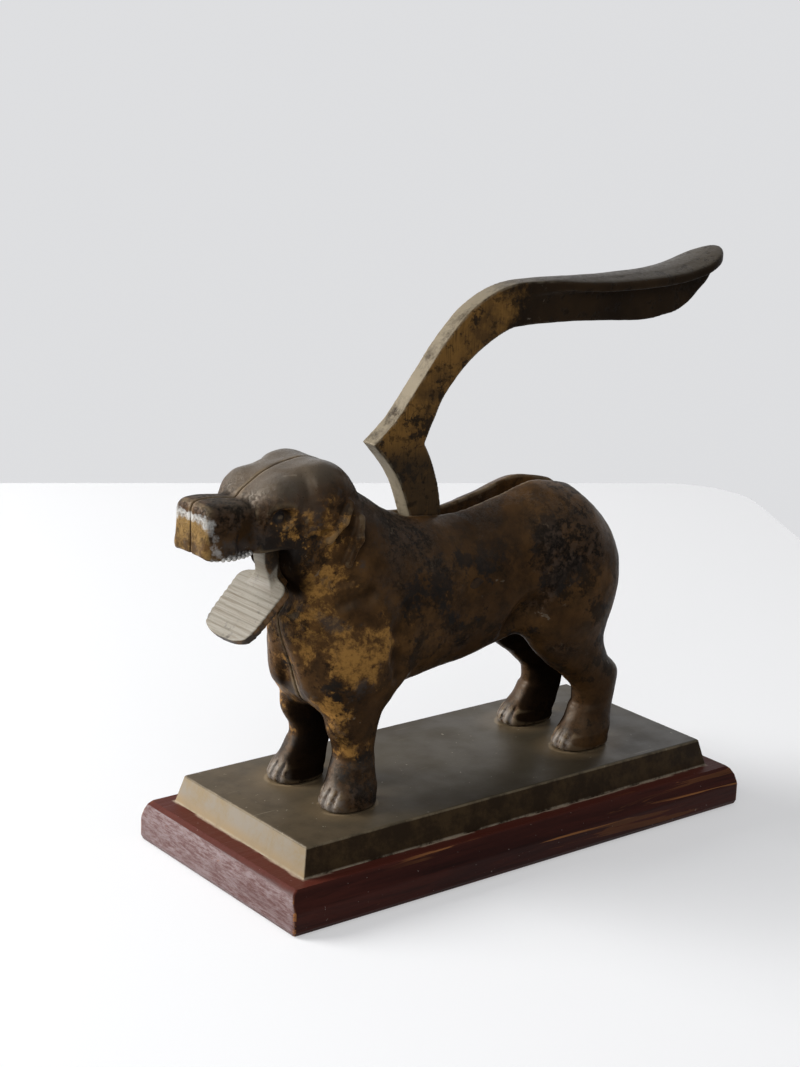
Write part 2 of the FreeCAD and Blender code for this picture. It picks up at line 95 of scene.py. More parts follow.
class DogSizes(bpy.types.PropertyGroup):
    step: length("Sculpting step", "Grid step of the dog's sculpted form", 0.00055)
    seam_edge: length("Seam edge", "How softly the halves' edges are rounded along the seam", 0.0007)
    lumps: length("Cast lumps", "Height of the casting's soft unevenness", 0.00022)
    tooth_radius: length("Lip tooth", "Radius of the teeth along the lips", 0.00105)
    tooth_count: bpy.props.IntProperty(name="Lip teeth", description="Teeth along each lip", default=9, min=2)
    dark: colour("Dark patina", "Brown-black of the old patina", (0.014, 0.0085, 0.0048))
    brown: colour("Brown bronze", "Rubbed brown of the flanks and legs", (0.050, 0.0240, 0.0090))
    ochre: colour("Ochre bronze", "Yellow bronze where the patina has gone", (0.37, 0.190, 0.050))
    rust: colour("Warm brown", "Orange-brown round the ochre patches", (0.125, 0.062, 0.021))
    # The greyish brown is a painted reflection of the pale room on the upward faces of the crown and the
    # bridge of the nose.
    grey: colour("Grey bronze", "Grey-brown of the crown and the bridge of the nose", (0.094, 0.073, 0.051))
    worn: colour("Worn metal", "Grey metal on the nose and lips", (0.52, 0.505, 0.475))


class LeverSizes(bpy.types.PropertyGroup):
    step: length("Sculpting step", "Grid step of the tail and arm", 0.0005)
    jaw_step: length("Jaw step", "Grid step of the lower jaw", 0.00035)
    tooth_pitch: length("Jaw tooth pitch", "Distance between the jaw's cross teeth", 0.0025)
    tooth_depth: length("Jaw tooth depth", "Depth of the jaw's cross teeth", 0.00013)
    dark: colour("Dark patina", "Brown-black of the tail", (0.018, 0.0115, 0.007))
    gold: colour("Golden bronze", "Warm side faces of the arm", (0.235, 0.122, 0.034))
    worn: colour("Worn metal", "Grey-tan of rubbed edges", (0.235, 0.195, 0.135))
    plate: colour("Jaw plate", "Grey-tan of the toothed plate", (0.225, 0.200, 0.155))


class PlateSizes(bpy.types.PropertyGroup):
    edge: length("Soft edge", "Rounding of the plinth's edges", 0.0005)
    olive: colour("Olive bronze", "Top face of the plinth", (0.058, 0.047, 0.030))
    # The tan of the front slope is painted light, on the slope that faces the window lamp.
    tan: colour("Rubbed bevel", "Lighter sloping front", (0.25, 0.19, 0.115))


class WoodSizes(bpy.types.PropertyGroup):
    edge: length("Soft edge", "Rounding of the board's lower edge", 0.0022)
    stain: colour("Burgundy stain", "Dark stain of the board", (0.030, 0.0085, 0.0065))
    bare: colour("Bare wood", "Wood where the stain has worn off", (0.36, 0.15, 0.05))


class StageSizes(bpy.types.PropertyGroup):
    table: colour("Table", "White table top", (0.86, 0.86, 0.865))
    wall: colour("Wall", "Pale wall behind the table", (0.725, 0.73, 0.745))


# ---- sculpting ----
def soft_min(a, b, blend):
    h = np.maximum(blend - np.abs(a - b), 0) / blend
    return np.minimum(a, b) - h * h * blend * 0.25


def soft_max(a, b, blend):
    return -soft_min(-a, -b, blend)


def smooth_run(at, stations, values):
    """Monotone cubic through the values at the stations, held flat beyond the ends."""
    x, y = np.asarray(stations, float), np.asarray(values, float)
    gap = np.diff(x)
    slope = np.diff(y) / gap
    m = np.zeros_like(y)
    inner = slope[1:] * slope[:-1] > 0
    w1, w2 = 2 * gap[1:] + gap[:-1], gap[1:] + 2 * gap[:-1]
    safe_a = np.where(inner, slope[:-1], 1.0)
    safe_b = np.where(inner, slope[1:], 1.0)
    m[1:-1] = np.where(inner, (w1 + w2) / (w1 / safe_a + w2 / safe_b), 0.0)
    m[0], m[-1] = slope[0], slope[-1]
    at = np.clip(at, x[0], x[-1])
    i = np.clip(np.searchsorted(x, at, side="right") - 1, 0, len(x) - 2)
    t = (at - x[i]) / gap[i]
    a, b = y[i], y[i + 1]
    return ((1 + 2 * t) * (1 - t) ** 2 * a + t * (1 - t) ** 2 * gap[i] * m[i]
            + t * t * (3 - 2 * t) * b + t * t * (t - 1) * gap[i] * m[i + 1]).astype(np.float32)


def superoval(a, b, half_a, half_b, power):
    """Distance from a rounded-rectangle section, measured along the ray from its middle."""
    reach = np.sqrt(a * a + b * b) + 1e-4
    rho = ((np.abs(a) / half_a) ** power + (np.abs(b) / half_b) ** power) ** (1 / power) + 1e-4
    return reach * (1 - 1 / rho)


def tube(along, a, b, rows, power, end_blend=2.0):
    """Form that follows rows of (station, middle a, middle b, half a, half b)."""
    at, mid_a, mid_b, half_a, half_b = np.array(rows, float).T
    half_a, half_b = np.maximum(half_a, 0.05), np.maximum(half_b, 0.05)
    ha = np.sqrt(smooth_run(along, at, half_a ** 2))
    hb = np.sqrt(smooth_run(along, at, half_b ** 2))
    side = superoval(a - smooth_run(along, at, mid_a), b - smooth_run(along, at, mid_b), ha, hb, power)
    over = np.maximum(at[0] - along, along - at[-1])
    return soft_max(side, over, end_blend)


class Clay:
    """Block of signed distances in millimetres: below zero is metal. Balls and rods go by the origin."""

    origin = (0.0, 0.0, 0.0)

    def __init__(self, low, high, step):
        self.low, self.step = np.array(low, float), step
        self.axes = [np.arange(a, b, step, dtype=np.float32) for a, b in zip(low, high)]
        self.d = np.full([len(a) for a in self.axes], 40.0, np.float32)

    def window(self, low, high):
        cut = tuple(slice(*np.searchsorted(a, (l, h))) for a, l, h in zip(self.axes, low, high))
        x, s, z = (a[c] for a, c in zip(self.axes, cut))
        return cut, x[:, None, None], s[None, :, None], z[None, None, :]

    def join(self, form, low, high, blend):
        cut, x, s, z = self.window(low, high)
        self.d[cut] = soft_min(self.d[cut], form(x, s, z), blend)

    def carve(self, form, low, high, blend):
        cut, x, s, z = self.window(low, high)
        self.d[cut] = soft_max(self.d[cut], -form(x, s, z), blend)

    def limb(self, rows, power, end_blend, low, high, blend, upright=False):
        """Joins a tube that runs along x, or along z where upright."""
        def form(x, s, z):
            return tube(z, x, s, rows, power, end_blend) if upright else tube(x, s, z, rows, power, end_blend)

        self.join(form, low, high, blend)

    def ball(self, centre, radii, blend, away=False):
        c, r = np.array(centre, float) + self.origin, np.array(radii, float)

        def form(x, s, z):
            p = ((x - c[0]) / r[0], (s - c[1]) / r[1], (z - c[2]) / r[2])
            k0 = np.sqrt(sum(v * v for v in p)) + 1e-4
            k1 = np.sqrt(sum((v / q) ** 2 for v, q in zip(p, r))) + 1e-5
            return k0 * (k0 - 1) / k1

        margin = blend + 2
        work = self.carve if away else self.join
        work(form, c - r - margin, c + r + margin, blend)

    def rod(self, start, end, r0, r1, blend, away=False):
        a, b = np.array(start, float) + self.origin, np.array(end, float) + self.origin
        way = b - a

        def form(x, s, z):
            px, ps, pz = x - a[0], s - a[1], z - a[2]
            t = np.clip((px * way[0] + ps * way[1] + pz * way[2]) / (way @ way), 0, 1)
            off = (px - t * way[0]) ** 2 + (ps - t * way[1]) ** 2 + (pz - t * way[2]) ** 2
            return np.sqrt(off) - (r0 + t * (r1 - r0))

        margin = max(r0, r1) + blend + 2
        work = self.carve if away else self.join
        work(form, np.minimum(a, b) - margin, np.maximum(a, b) + margin, blend)

    def line(self, points, blend, away=False):
        """Rounded ridge, or groove, through points, each with its radius as a fourth value."""
        for p, q in zip(points, points[1:]):
            self.rod(p[:3], q[:3], p[3], q[3], blend, away)

    def groove(self, points, blend):
        self.line(points, blend, away=True)

    def sample(self, values, points):
        """Values of a grid of the same shape at points, by linear interpolation."""
        g = (points - self.low) / self.step
        i = np.clip(np.floor(g).astype(int), 0, np.array(values.shape) - 2)
        f = np.clip(g - i, 0, 1)
        total = 0.0
        for corner in np.ndindex(2, 2, 2):
            weight = np.prod(np.where(corner[::-1], f, 1 - f), axis=1)
            total = total + weight * values[tuple((i + corner[::-1]).T)]
        return total

    def blurred(self, radius):
        """Distances averaged over a cube of that half side: against zero it tells ridges from hollows."""
        n = max(1, int(round(radius / self.step)))
        out = self.d.astype(np.float64)
        for axis in range(3):
            pad = [(0, 0)] * 3
            pad[axis] = (n + 1, n)
            total = np.cumsum(np.pad(out, pad, mode="edge"), axis=axis)
            size = out.shape[axis]
            ahead = np.take(total, np.arange(2 * n + 1, 2 * n + 1 + size), axis=axis)
            behind = np.take(total, np.arange(0, size), axis=axis)
            out = (ahead - behind) / (2 * n + 1)
        return out

    def skin(self):
        """Vertices and quads of the surface where the distance is zero."""
        d = self.d
        inside = d < 0
        n = np.array(d.shape) - 1
        count = np.zeros(n, np.uint8)
        for corner in np.ndindex(2, 2, 2):
            count += inside[tuple(slice(c, c + size) for c, size in zip(corner, n))]
        cells = np.argwhere((count > 0) & (count < 8))
        number = np.full(n, -1, np.int32)
        number[tuple(cells.T)] = np.arange(len(cells))
        total, hits = np.zeros((len(cells), 3)), np.zeros(len(cells))
        steps = np.eye(3, dtype=int)
        for axis in range(3):
            u, v = (steps[a] for a in range(3) if a != axis)
            for shift in (0 * u, v, u, u + v):
                start = cells + shift
                d0, d1 = d[tuple(start.T)], d[tuple((start + steps[axis]).T)]
                cross = (d0 < 0) != (d1 < 0)
                spot = start.astype(float)
                spot[:, axis] += np.where(cross, d0 / np.where(cross, d0 - d1, 1), 0)
                total += np.where(cross[:, None], spot, 0)
                hits += cross
        points = self.low + total / hits[:, None] * self.step
        quads = []
        for axis in range(3):
            b, c = steps[(axis + 1) % 3], steps[(axis + 2) % 3]
            first = inside[tuple(slice(o, size) for o, size in zip(b + c, n))]
            second = inside[tuple(slice(o + a, size + a) for o, a, size in zip(b + c, steps[axis], n))]
            change = np.argwhere(first != second)
            leaves = first[tuple(change.T)]
            quad = np.stack([number[tuple((change + shift).T)] for shift in (0 * b, b, b + c, c)], 1)
            quad[~leaves] = quad[~leaves][:, ::-1]
            quads.append(quad)
        return points, np.concatenate(quads)


# ---- outlines in the hinge plane ----
def slab(outline, half, blend):
    """Form of a flat casting: its outline in the hinge plane and its half thickness."""
    return lambda x, s, z: soft_max(flat_distance(outline, x, z), np.abs(s) - half, blend)


def polar(radius, degrees):
    turn = math.radians(degrees)
    return (HINGE[0] + radius * math.cos(turn), HINGE[2] + radius * math.sin(turn))


def from_hinge(dx, dz):
    return (HINGE[0] + dx, HINGE[2] + dz)


def arc(radius, start, end, count=24):
    return [polar(radius, a) for a in np.linspace(start, end, count)]


def through(points, steps=8):
    """Points along a smooth curve through the given ones."""
    p = np.array(points, float)
    p = np.vstack([2 * p[0] - p[1], p, 2 * p[-1] - p[-2]])
    out = []
    for i in range(1, len(p) - 2):
        for t in np.linspace(0, 1, steps, endpoint=False):
            a, b, c, d = p[i - 1:i + 3]
            out.append(tuple(0.5 * (2 * b + (c - a) * t + (2 * a - 5 * b + 4 * c - d) * t * t
                                    + (3 * b - a - 3 * c + d) * t ** 3)))
    return out + [tuple(p[-2])]


def outline_distance(points, x, z):
    """Signed distance to a closed outline in a plane, below zero inside."""
    x, z = np.broadcast_arrays(x, z)
    near = np.full(x.shape, 1e9, np.float32)
    inside = np.zeros(x.shape, bool)
    p = np.array(points, np.float32)
    for (ax, az), (bx, bz) in zip(p, np.roll(p, -1, axis=0)):
        wx, wz = bx - ax, bz - az
        size = wx * wx + wz * wz
        if size < 1e-8:
            continue
        t = np.clip(((x - ax) * wx + (z - az) * wz) / size, 0, 1)
        near = np.minimum(near, (x - ax - t * wx) ** 2 + (z - az - t * wz) ** 2)
        if abs(wz) > 1e-9:
            straddles = (az > z) != (bz > z)
            inside ^= straddles & (x < wx * (z - az) / wz + ax)
    return np.where(inside, -1, 1) * np.sqrt(near)


def flat_distance(outline, x, z):
    """The same for the open grid of a window."""
    return outline_distance(outline, x[:, 0, 0][:, None], z[0, 0][None, :])[:, None, :]


# ---- the lever's own sizes, the same as the castings' ----
HUB = 9.0
GUARD_INNER, GUARD_FOOT, GUARD_OUTER = 44.0, 46.4, 60.3
GUARD_TOP, NOTCH, GUARD_LOW, ARM_TOP = 49.2, 31.2, -10.0, 4.5
TAIL_STRETCH = (132.0 - HINGE[0]) / 204.0
TAIL_TOP = [(35.0, 38.6), (40.2, 43.8), (51.3, 57.9), (61.3, 70.3), (72.3, 79.7), (86.9, 85.9), (106.0, 87.2),
            (140.0, 86.9), (166.0, 87.8), (182.0, 90.4), (196.0, 94.6)]
TAIL_UNDER = [(177.4, 69.8), (168.0, 68.8), (155.0, 68.3), (125.0, 70.3), (97.0, 70.7), (85.6, 68.6),
              (71.1, 60.2), (60.2, 48.9), (55.3, 40.2)]
TAIL_KEEL = [(197.5, 88.6), (193.8, 85.7), (190.8, 81.7), (186.2, 77.9), (181.6, 74.0), (175.3, 70.9),
             (168.8, 69.6)]
LEAF_START, LEAF_HALF, LEAF_CROWN, LEAF_LIP = -4.0, 10.6, 1.9, 4.2
JAW_ANGLE, JAW_RISE, JAW_INNER, JAW_OUTER = 45.0, 3.7, 17.2, 43.2
JAW_HALF, JAW_THICK, JAW_GUARD = 14.4, 3.8, 17.6
JAW_GUARD_TOP, JAW_GUARD_LOW = 165.0, 236.0


def tail_points(rows):
    return [from_hinge(dx * TAIL_STRETCH, dz) for dx, dz in rows]


def tangent_on_hub(point, side, radius):
    """Where a line from the point touches a circle about the hinge; side is 1 above, -1 below."""
    dx, dz = point[0] - HINGE[0], point[1] - HINGE[2]
    turn = math.atan2(dz, dx) + side * math.acos(radius / math.hypot(dx, dz))
    return polar(radius, math.degrees(turn))


def swung(point, degrees):
    turn = math.radians(degrees)
    dx, dz = point[0] - HINGE[0], point[1] - HINGE[2]
    return from_hinge(dx * math.cos(turn) + dz * math.sin(turn), dz * math.cos(turn) - dx * math.sin(turn))


def angle_of(point):
    return math.degrees(math.atan2(point[1] - HINGE[2], point[0] - HINGE[0]))


def hub_arc(low, high, radius):
    """Arc about the hinge, between its tangents from a low and a high point."""
    ends = (tangent_on_hub(low, -1, radius), tangent_on_hub(high, 1, radius))
    return arc(radius, *(angle_of(end) % 360 for end in ends))


def lever_slot():
    """Everything that the arm, guard and tail sweep, open along the back and rump."""
    g, sky = SWEEP_GAP, 400.0
    low_angle = GUARD_LOW - SWING - 1.0
    floor_angle = NOTCH - SWING - 1.5
    low, ledge = polar(GUARD_OUTER + g, low_angle), polar(GUARD_OUTER + g, floor_angle)
    lip = polar(GUARD_INNER - g, ARM_TOP + 1.5)
    mouth = polar(GUARD_INNER - g, 70)
    floor = [(x, z - g) for x, z in (swung(p, SWING) for p in tail_points(TAIL_UNDER))]
    hub = hub_arc(low, lip, HUB + g)
    return ([low] + hub + arc(GUARD_INNER - g, ARM_TOP + 1.5, 70)
            + [(mouth[0], sky), (floor[0][0], sky), floor[0]] + through(floor[2:] + [ledge])
            + arc(GUARD_OUTER + g, floor_angle, low_angle))


def jaw_slot():
    """Room in the throat for the web between the hub and the lower jaw."""
    return [tuple(HINGE[[0, 2]])] + arc(JAW_GUARD + SWEEP_GAP, JAW_GUARD_TOP - SWING - 5, JAW_GUARD_LOW + 5)


def shut_jaw_height(dx):
    """Height above the hinge of the shut jaw's top."""
    tilt = math.radians(JAW_ANGLE - SWING)
    return JAW_RISE / math.cos(tilt) + dx * math.tan(tilt)


# ---- base and fastenings, the same as the built ones ----
PLINTH_SLOPE, WOOD_CHAMFER, WOOD_BREAST = 2.6, 4.2, 6.6
WOOD_CORNERS = (1.4, 2.0, 2.4, 3.2)
BASE_SCREW, BASE_HEAD, BASE_HEAD_HEIGHT = 2.4, 4.6, 3.0
BASE_BORE, BASE_BORE_DEPTH = 5.4, 5.0
FOOT_SCREW, FOOT_HEAD, FOOT_HEAD_HEIGHT = 2.0, 3.8, 1.8
SCREW_SLOT = 1.2        # both width and depth

# ---- the dog ----
FRONT_FOOT, REAR_FOOT, FOOT_S = -61.2, 51.8, 16.4
FRONT_PAW, REAR_PAW, PAW_HALF = 21.8, 24.4, 8.5


def rows_along_x(rows, base_x, base_z):
    """(dx, half, low, high) rows as tube rows: station, middle S, middle z, half S, half z."""
    return [(base_x + dx, 0.0, base_z + (low + high) / 2, half, (high - low) / 2)
            for dx, half, low, high in rows]


def trunk(clay):
    rows = rows_along_x([
        (-81.8, 1, 71.5, 72.5), (-80.6, 6, 66, 76.5), (-79, 8.5, 61, 79), (-76, 12.5, 52, 84),
        (-73.5, 15.5, 43, 88), (-71, 19, 37.5, 91), (-62, 22, 33.5, 98), (-48, 24.2, 35, 103),
        (-30, 23.2, 38.5, 101), (-8, 21.4, 41, 99.5), (12, 21.4, 45, 103), (30, 23.4, 48, 107),
        (46, 25, 46, 104), (58, 23, 46, 95.5), (66.5, 17, 52, 85), (70.5, 8.5, 60.5, 78),
        (71.2, 2, 66, 72)], 0.0, FLOOR)
    clay.limb(rows, 2.3, 1.0, (-90, -5, 40), (80, 40, 150), 1.0)
    clay.rod((-76.0, 5.5, FLOOR + 63), (-71.0, 9, FLOOR + 46), 5.2, 5.5, 6.0)


def neck(clay):
    rows = [(-34.4, 0, 7.6, 15.5, 26), (-18.3, 0, 7.8, 18, 25), (-4.5, 0, 7.7, 18, 23), (6.7, 0, 6.2, 17, 20),
            (14, 0, 5, 13, 15), (20, 0, 5, 0, 0)]

    def form(x, s, z):
        dx, dz = x - HINGE[0], z - HINGE[2]
        return tube(-0.5 * dx + 0.86 * dz, s, 0.86 * dx + 0.5 * dz, rows, 2.5, 3.0)

    clay.join(form, (-110, -5, 60), (-10, 30, 155), 9.0)


def skull(clay):
    """Broad skull and cheek with a heavy dome over the eye and another over the root of the ear."""
    clay.ball((-5, 8.6, -2.5), (9.5, 7.8, 10.5), 4.0)
    crown = [(-28.6, 0, 16, 16), (-28, 9.0, 12.5, 19.4), (-26.4, 12.2, 10.5, 22.4), (-23, 14.2, 9, 25.0),
             (-16, 15.8, 8.5, 29.0), (-8, 16.6, 8.5, 31.3), (-1, 16.8, 8.5, 32.2), (7, 15.8, 8, 30.4),
             (14, 13, 8, 25), (17.5, 8, 9, 19.5), (18.8, 0, 13, 13)]
    face = [(-28.4, 12.2, 0, 18), (-27, 13.4, -2, 20.5), (-20, 14.4, -3, 22), (-10, 15.2, -7, 23),
            (0, 15.8, -10, 23), (10, 14.6, -10, 20.5), (16, 10, -6, 12)]
    for rows, power, end_blend, blend in ((crown, 2.9, 2.0, 5.0), (face, 3.0, 2.6, 2.6)):
        rows = rows_along_x(rows, *HINGE[[0, 2]])
        clay.limb(rows, power, end_blend, (-106, -5, 105), (-50, 25, 160), blend)
    clay.ball((-17.4, 10.0, 19.4), (7.6, 8.0, 8.2), 4.0)
    clay.ball((-0.5, 10.4, 20.8), (12.4, 8.8, 11.4), 3.0)
    clay.groove([(-9.4, 13.0, 31.6, 1.0), (-10.0, 18.6, 26.5, 1.8), (-10.2, 20.6, 20, 2.6)], 3.0)


def muzzle(clay):
    """Square muzzle: flat nose, hanging lips and a hollow between lips and cheek."""
    rows = [(-45.6, 9, 3.4, 20.0), (-44.6, 10.2, 2.2, 21.2), (-42, 10.8, 0.8, 22.0), (-36, 10.8, -0.2, 22.0),
            (-27, 10.8, -0.5, 20.8), (-17, 11.4, -1, 18.4), (-10, 12, -2, 17)]
    clay.limb(rows_along_x(rows, *HINGE[[0, 2]]), 4.6, 1.4, (-125, -5, 110), (-75, 20, 150), 1.6)
    clay.ball((-36.5, 8.2, 5.4), (9.0, 5.2, 5.6), 2.2)
    clay.rod((-41.8, 8.0, 9), (-41.2, 8.8, 4), 3.2, 3.6, 1.8)
    clay.ball((-31.0, 14.4, 9.0), (4.0, 4.2, 9.5), 2.4, away=True)


def eye(clay):
    """Almond eye sunk under the dome, with a sharp lower lid."""
    clay.ball((-18.8, 17.2, 16.2), (4.8, 3.8, 3.2), 2.2, away=True)
    clay.ball((-19.2, 11.9, 15.9), (3.3, 3.0, 2.9), 0.6)
    clay.line([(-23.6, 12.9, 12.4, 0.3), (-20.8, 13.9, 11.8, 0.6), (-17.2, 14.7, 12.2, 0.7),
               (-14.4, 15.4, 13.4, 0.4)], 0.8)


def ear(clay):
    """Small folded ear under the rear dome, rolled along its back edge."""
    clay.groove([(-12, 19.4, 17.8, 1.6), (8, 21.0, 17.6, 1.8)], 2.0)
    clay.ball((-2.0, 15.2, 14.0), (7.6, 4.2, 6.4), 1.4)
    clay.line([(-9.8, 15.6, 19.0, 1.3), (-9.4, 16.0, 14.5, 1.6), (-9.0, 15.4, 9.0, 1.2)], 1.2)
    clay.line([(8.4, 17.2, 17.6, 1.8), (4.8, 18.2, 12.4, 2.1), (-0.6, 17.4, 6.4, 1.8),
               (-3.6, 16.6, 4.0, 1.2)], 1.0)
    clay.ball((-2.4, 19.4, 9.2), (2.6, 2.6, 1.5), 0.8, away=True)
    clay.groove([(11.5, 19.6, 14.0, 1.2), (8.0, 20.8, 8.0, 1.6), (3, 20.8, 1.0, 1.4),
                 (-4, 19.6, -5.0, 1.0)], 2.0)
    clay.line([(13.4, 17.0, 11.6, 1.6), (11.4, 18.6, 5.0, 1.8), (7, 19.2, -3.0, 1.4)], 1.8)


def front_leg(clay):
    rows = [(6, -60.4, 15.6, 9.4, 7.8), (12, -58.6, 14.4, 8.6, 7.2), (19, -57, 13.4, 7.7, 7),
            (26, -57.4, 13.2, 8.9, 7.5), (33, -57, 13, 10.7, 8.4), (40, -56.4, 13, 14.8, 9.4),
            (48, -56.2, 13.8, 17.2, 10.8), (57, -55.4, 13.8, 18.2, 11), (65, -54, 12.8, 16.8, 10),
            (72, -52.7, 11.2, 14.8, 8.6)]
    rows = [(FLOOR + z, *rest) for z, *rest in rows]
    clay.limb(rows, 2.2, 2.0, (-85, -3, 28), (-25, 35, 112), 8.0, upright=True)
    clay.ball((-64.5, 14.5, FLOOR + 31), (4.5, 5, 6.5), 3.0)


def rear_leg(clay):
    rows = [(6, 2, 0.3, 10.8, 7.8), (10, 4.2, 0.8, 9.8, 7.3), (16, 6.6, 1.4, 8.8, 6.8), (22, 7, 1.4, 9.4, 6.8),
            (29, 4.2, 1.4, 13, 7), (36, -3.6, 1.2, 14.6, 7.8), (45, -9.2, 1.2, 17.6, 9),
            (54, -11.0, 1.2, 21.2, 10.8), (66, -11.0, 1.6, 22.0, 11.0), (80, -10.0, 4.8, 16.5, 8.0)]
    rows = [(FLOOR + z, REAR_FOOT + x, FOOT_S - s, *halves) for z, x, s, *halves in rows]
    clay.limb(rows, 2.2, 2.0, (10, -3, 28), (85, 35, 118), 5.0, upright=True)


def paw(clay, x0, length):
    """Smooth flared paw with faint creases between its toes."""
    half = length / 2
    rows = [(0, 0.2, 0, 0.95, 8.0), (2.2, 0, 0, 1.0, PAW_HALF), (5, 0.7, 0.1, 0.94, 8.1),
            (8.2, 2.4, 0.4, 0.77, 7.2), (11, 3.2, 0.8, 0.62, 6.4), (15, 3.2, 1.0, 0.5, 6.0)]
    rows = [(FLOOR + z, x0 + x, FOOT_S - s, half * share, wide) for z, x, s, share, wide in rows]
    clay.limb(rows, 2.3, 1.0, (x0 - 16, 2, FLOOR - 2), (x0 + 18, 30, FLOOR + 18), 3.0, upright=True)
    for across in (-1.0, 0.0, 1.0):
        front = x0 - half + 0.6 * across * across
        clay.groove([(front + x, FOOT_S + across * spread, FLOOR + z, radius) for x, spread, z, radius in (
            (-0.2, 4.2, 0.4, 0.7), (0.4, 4.1, 3.4, 0.5), (3.4, 3.7, 7.2, 0.15))], 1.3)


def skin_folds(clay):
    """Elbow groove, haunch fold, the loose skin of the neck and the crease over the front leg."""
    for points, blend in (
            ([(-35.2, 27.2, 105.7, 1.6), (-42, 27.2, 100.5, 3), (-46, 27.0, 92, 3), (-45.5, 26.2, 83, 3),
              (-44, 24.2, 74.5, 3)], 4.5),
            ([(24.5, 28.0, 101, 1.6), (23.8, 26.4, 95, 3.2), (19.2, 24.4, 90.4, 4.4), (15.4, 22.8, 86.2, 4.8),
              (13.0, 20.2, 82.0, 4.4), (11.5, 17.0, 77.5, 3.4)], 3.4),
            ([(-88, 19.0, 108, 0.8), (-78, 20.4, 112, 1.2), (-66, 20.6, 112.5, 1.0)], 3.0),
            ([(-80, 20.0, 99, 0.8), (-70, 21.9, 104.5, 1.3), (-58, 22.8, 108, 1.0)], 4.0),
            ([(-56.0, 24.0, 126, 0.8), (-55.5, 24.4, 116, 1.5), (-60.0, 24.6, 104, 1.0)], 4.5),
            ([(-72.0, 20.5, 42.5, 1.6), (-68.0, 26.0, 43.5, 1.4), (-60.0, 26.5, 43.0, 1.0)], 2.6)):
        clay.groove(points, blend)


def openings(clay):
    """Slots that the lever works in, and the open mouth."""
    back = [from_hinge(dx, dz) for dx, dz in ((-12.2, 6), (-12.2, -2.8), (-11.3, -7.3), (-8.3, -11.2),
                                              (-6.0, -16.2), (-6.3, -19.6), (-8.8, -23.4))]
    edge = [(back[0][0], 200.0)] + through(back) + [(-400.0, -200.0), (-400.0, 200.0)]

    def in_mouth(x, s, z):
        dx = x - HINGE[0]
        lips = np.clip((np.abs(s) - 7.0) / 3.0, 0, 1)
        tilt = math.radians(JAW_ANGLE - SWING)
        roof = HINGE[2] + shut_jaw_height(0) + dx * math.tan(tilt) + 1.45 - 0.6 * lips * lips * (3 - 2 * lips)
        return soft_max(flat_distance(edge, x, z), z - roof, 1.0)

    def under_leaf(x, s, z):
        cos, sin = math.cos(math.radians(SWING)), math.sin(math.radians(SWING))
        dx, dz = x - HINGE[0], z - HINGE[2]
        open_x, open_z = from_hinge(dx * cos - dz * sin, dz * cos + dx * sin)
        return leaf_form(open_x, s, open_z) - SWEEP_GAP

    clay.carve(slab(lever_slot(), SLOT_HALF, 0.8), (-90, -3, 60), (80, 8, 160), 1.1)
    clay.carve(under_leaf, (38, -3, 85), (88, 16, 130), 0.8)
    clay.carve(slab(jaw_slot(), SLOT_HALF, 0.8), (-105, -3, 90), (-50, 8, 160), 0.8)
    clay.carve(in_mouth, (-125, -3, 85), (-70, 30, 135), 1.0)


def dog_clay(step):
    clay = Clay((-121, -1.8, FLOOR - 2.0), (76, 31, 158), step)
    for add in (trunk, front_leg, rear_leg, neck):
        add(clay)
    clay.origin = HINGE
    for add in (skull, muzzle, eye, ear):
        add(clay)
    clay.origin = Clay.origin
    paw(clay, FRONT_FOOT, FRONT_PAW)
    paw(clay, REAR_FOOT, REAR_PAW)
    skin_folds(clay)
    openings(clay)
    return clay


def close_half(clay, seam_edge):
    """Flat seam face and flat soles, with the seam's edges rounded."""
    _, _, s, z = clay.window(*EVERYWHERE)
    clay.d = soft_max(clay.d, 0.16 - s, seam_edge)
    clay.d = soft_max(clay.d, FLOOR + 0.02 - z, 0.5)


# ---- meshes ----
def placed(name, data):
    """Object at the origin, in the scene."""
    obj = bpy.data.objects.new(name, data)
    bpy.context.scene.collection.objects.link(obj)
    return obj


def to_mesh(name, points, faces, flip_y=False):
    """Mesh object in metres from millimetre points; flip_y mirrors it to the other side of the seam."""
    points = points * MM
    if flip_y:
        points = points * np.array([1, -1, 1])
        faces = faces[:, ::-1]
    mesh = bpy.data.meshes.new(name)
    mesh.vertices.add(len(points))
    mesh.vertices.foreach_set("co", points.astype(np.float32).ravel())
    size = faces.shape[1]
    mesh.loops.add(faces.size)
    mesh.loops.foreach_set("vertex_index", faces.astype(np.int32).ravel())
    mesh.polygons.add(len(faces))
    mesh.polygons.foreach_set("loop_start", np.arange(0, faces.size, size, dtype=np.int32))
    mesh.polygons.foreach_set("loop_total", np.full(len(faces), size, np.int32))
    mesh.update(calc_edges=True)
    mesh.shade_smooth()
    return placed(name, mesh)


def finished(obj):
    """Replaces the object's mesh by what its modifiers make of it, and drops them."""
    graph = bpy.context.evaluated_depsgraph_get()
    made = bpy.data.meshes.new_from_object(obj.evaluated_get(graph), depsgraph=graph)
    obj.modifiers.clear()
    obj.data = made


def thinned(obj, most):
    """Fewer triangles where the surface is calm."""
    count = sum(len(p.vertices) - 2 for p in obj.data.polygons)
    if count > most:
        cut = obj.modifiers.new("thin", "DECIMATE")
        cut.ratio = most / count
        finished(obj)
        obj.data.shade_smooth()
    return obj


def triples(items, key):
    """Rows of three numbers that the items hold."""
    out = np.zeros(len(items) * 3, np.float32)
    items.foreach_get(key, out)
    return out.reshape(-1, 3).astype(float)


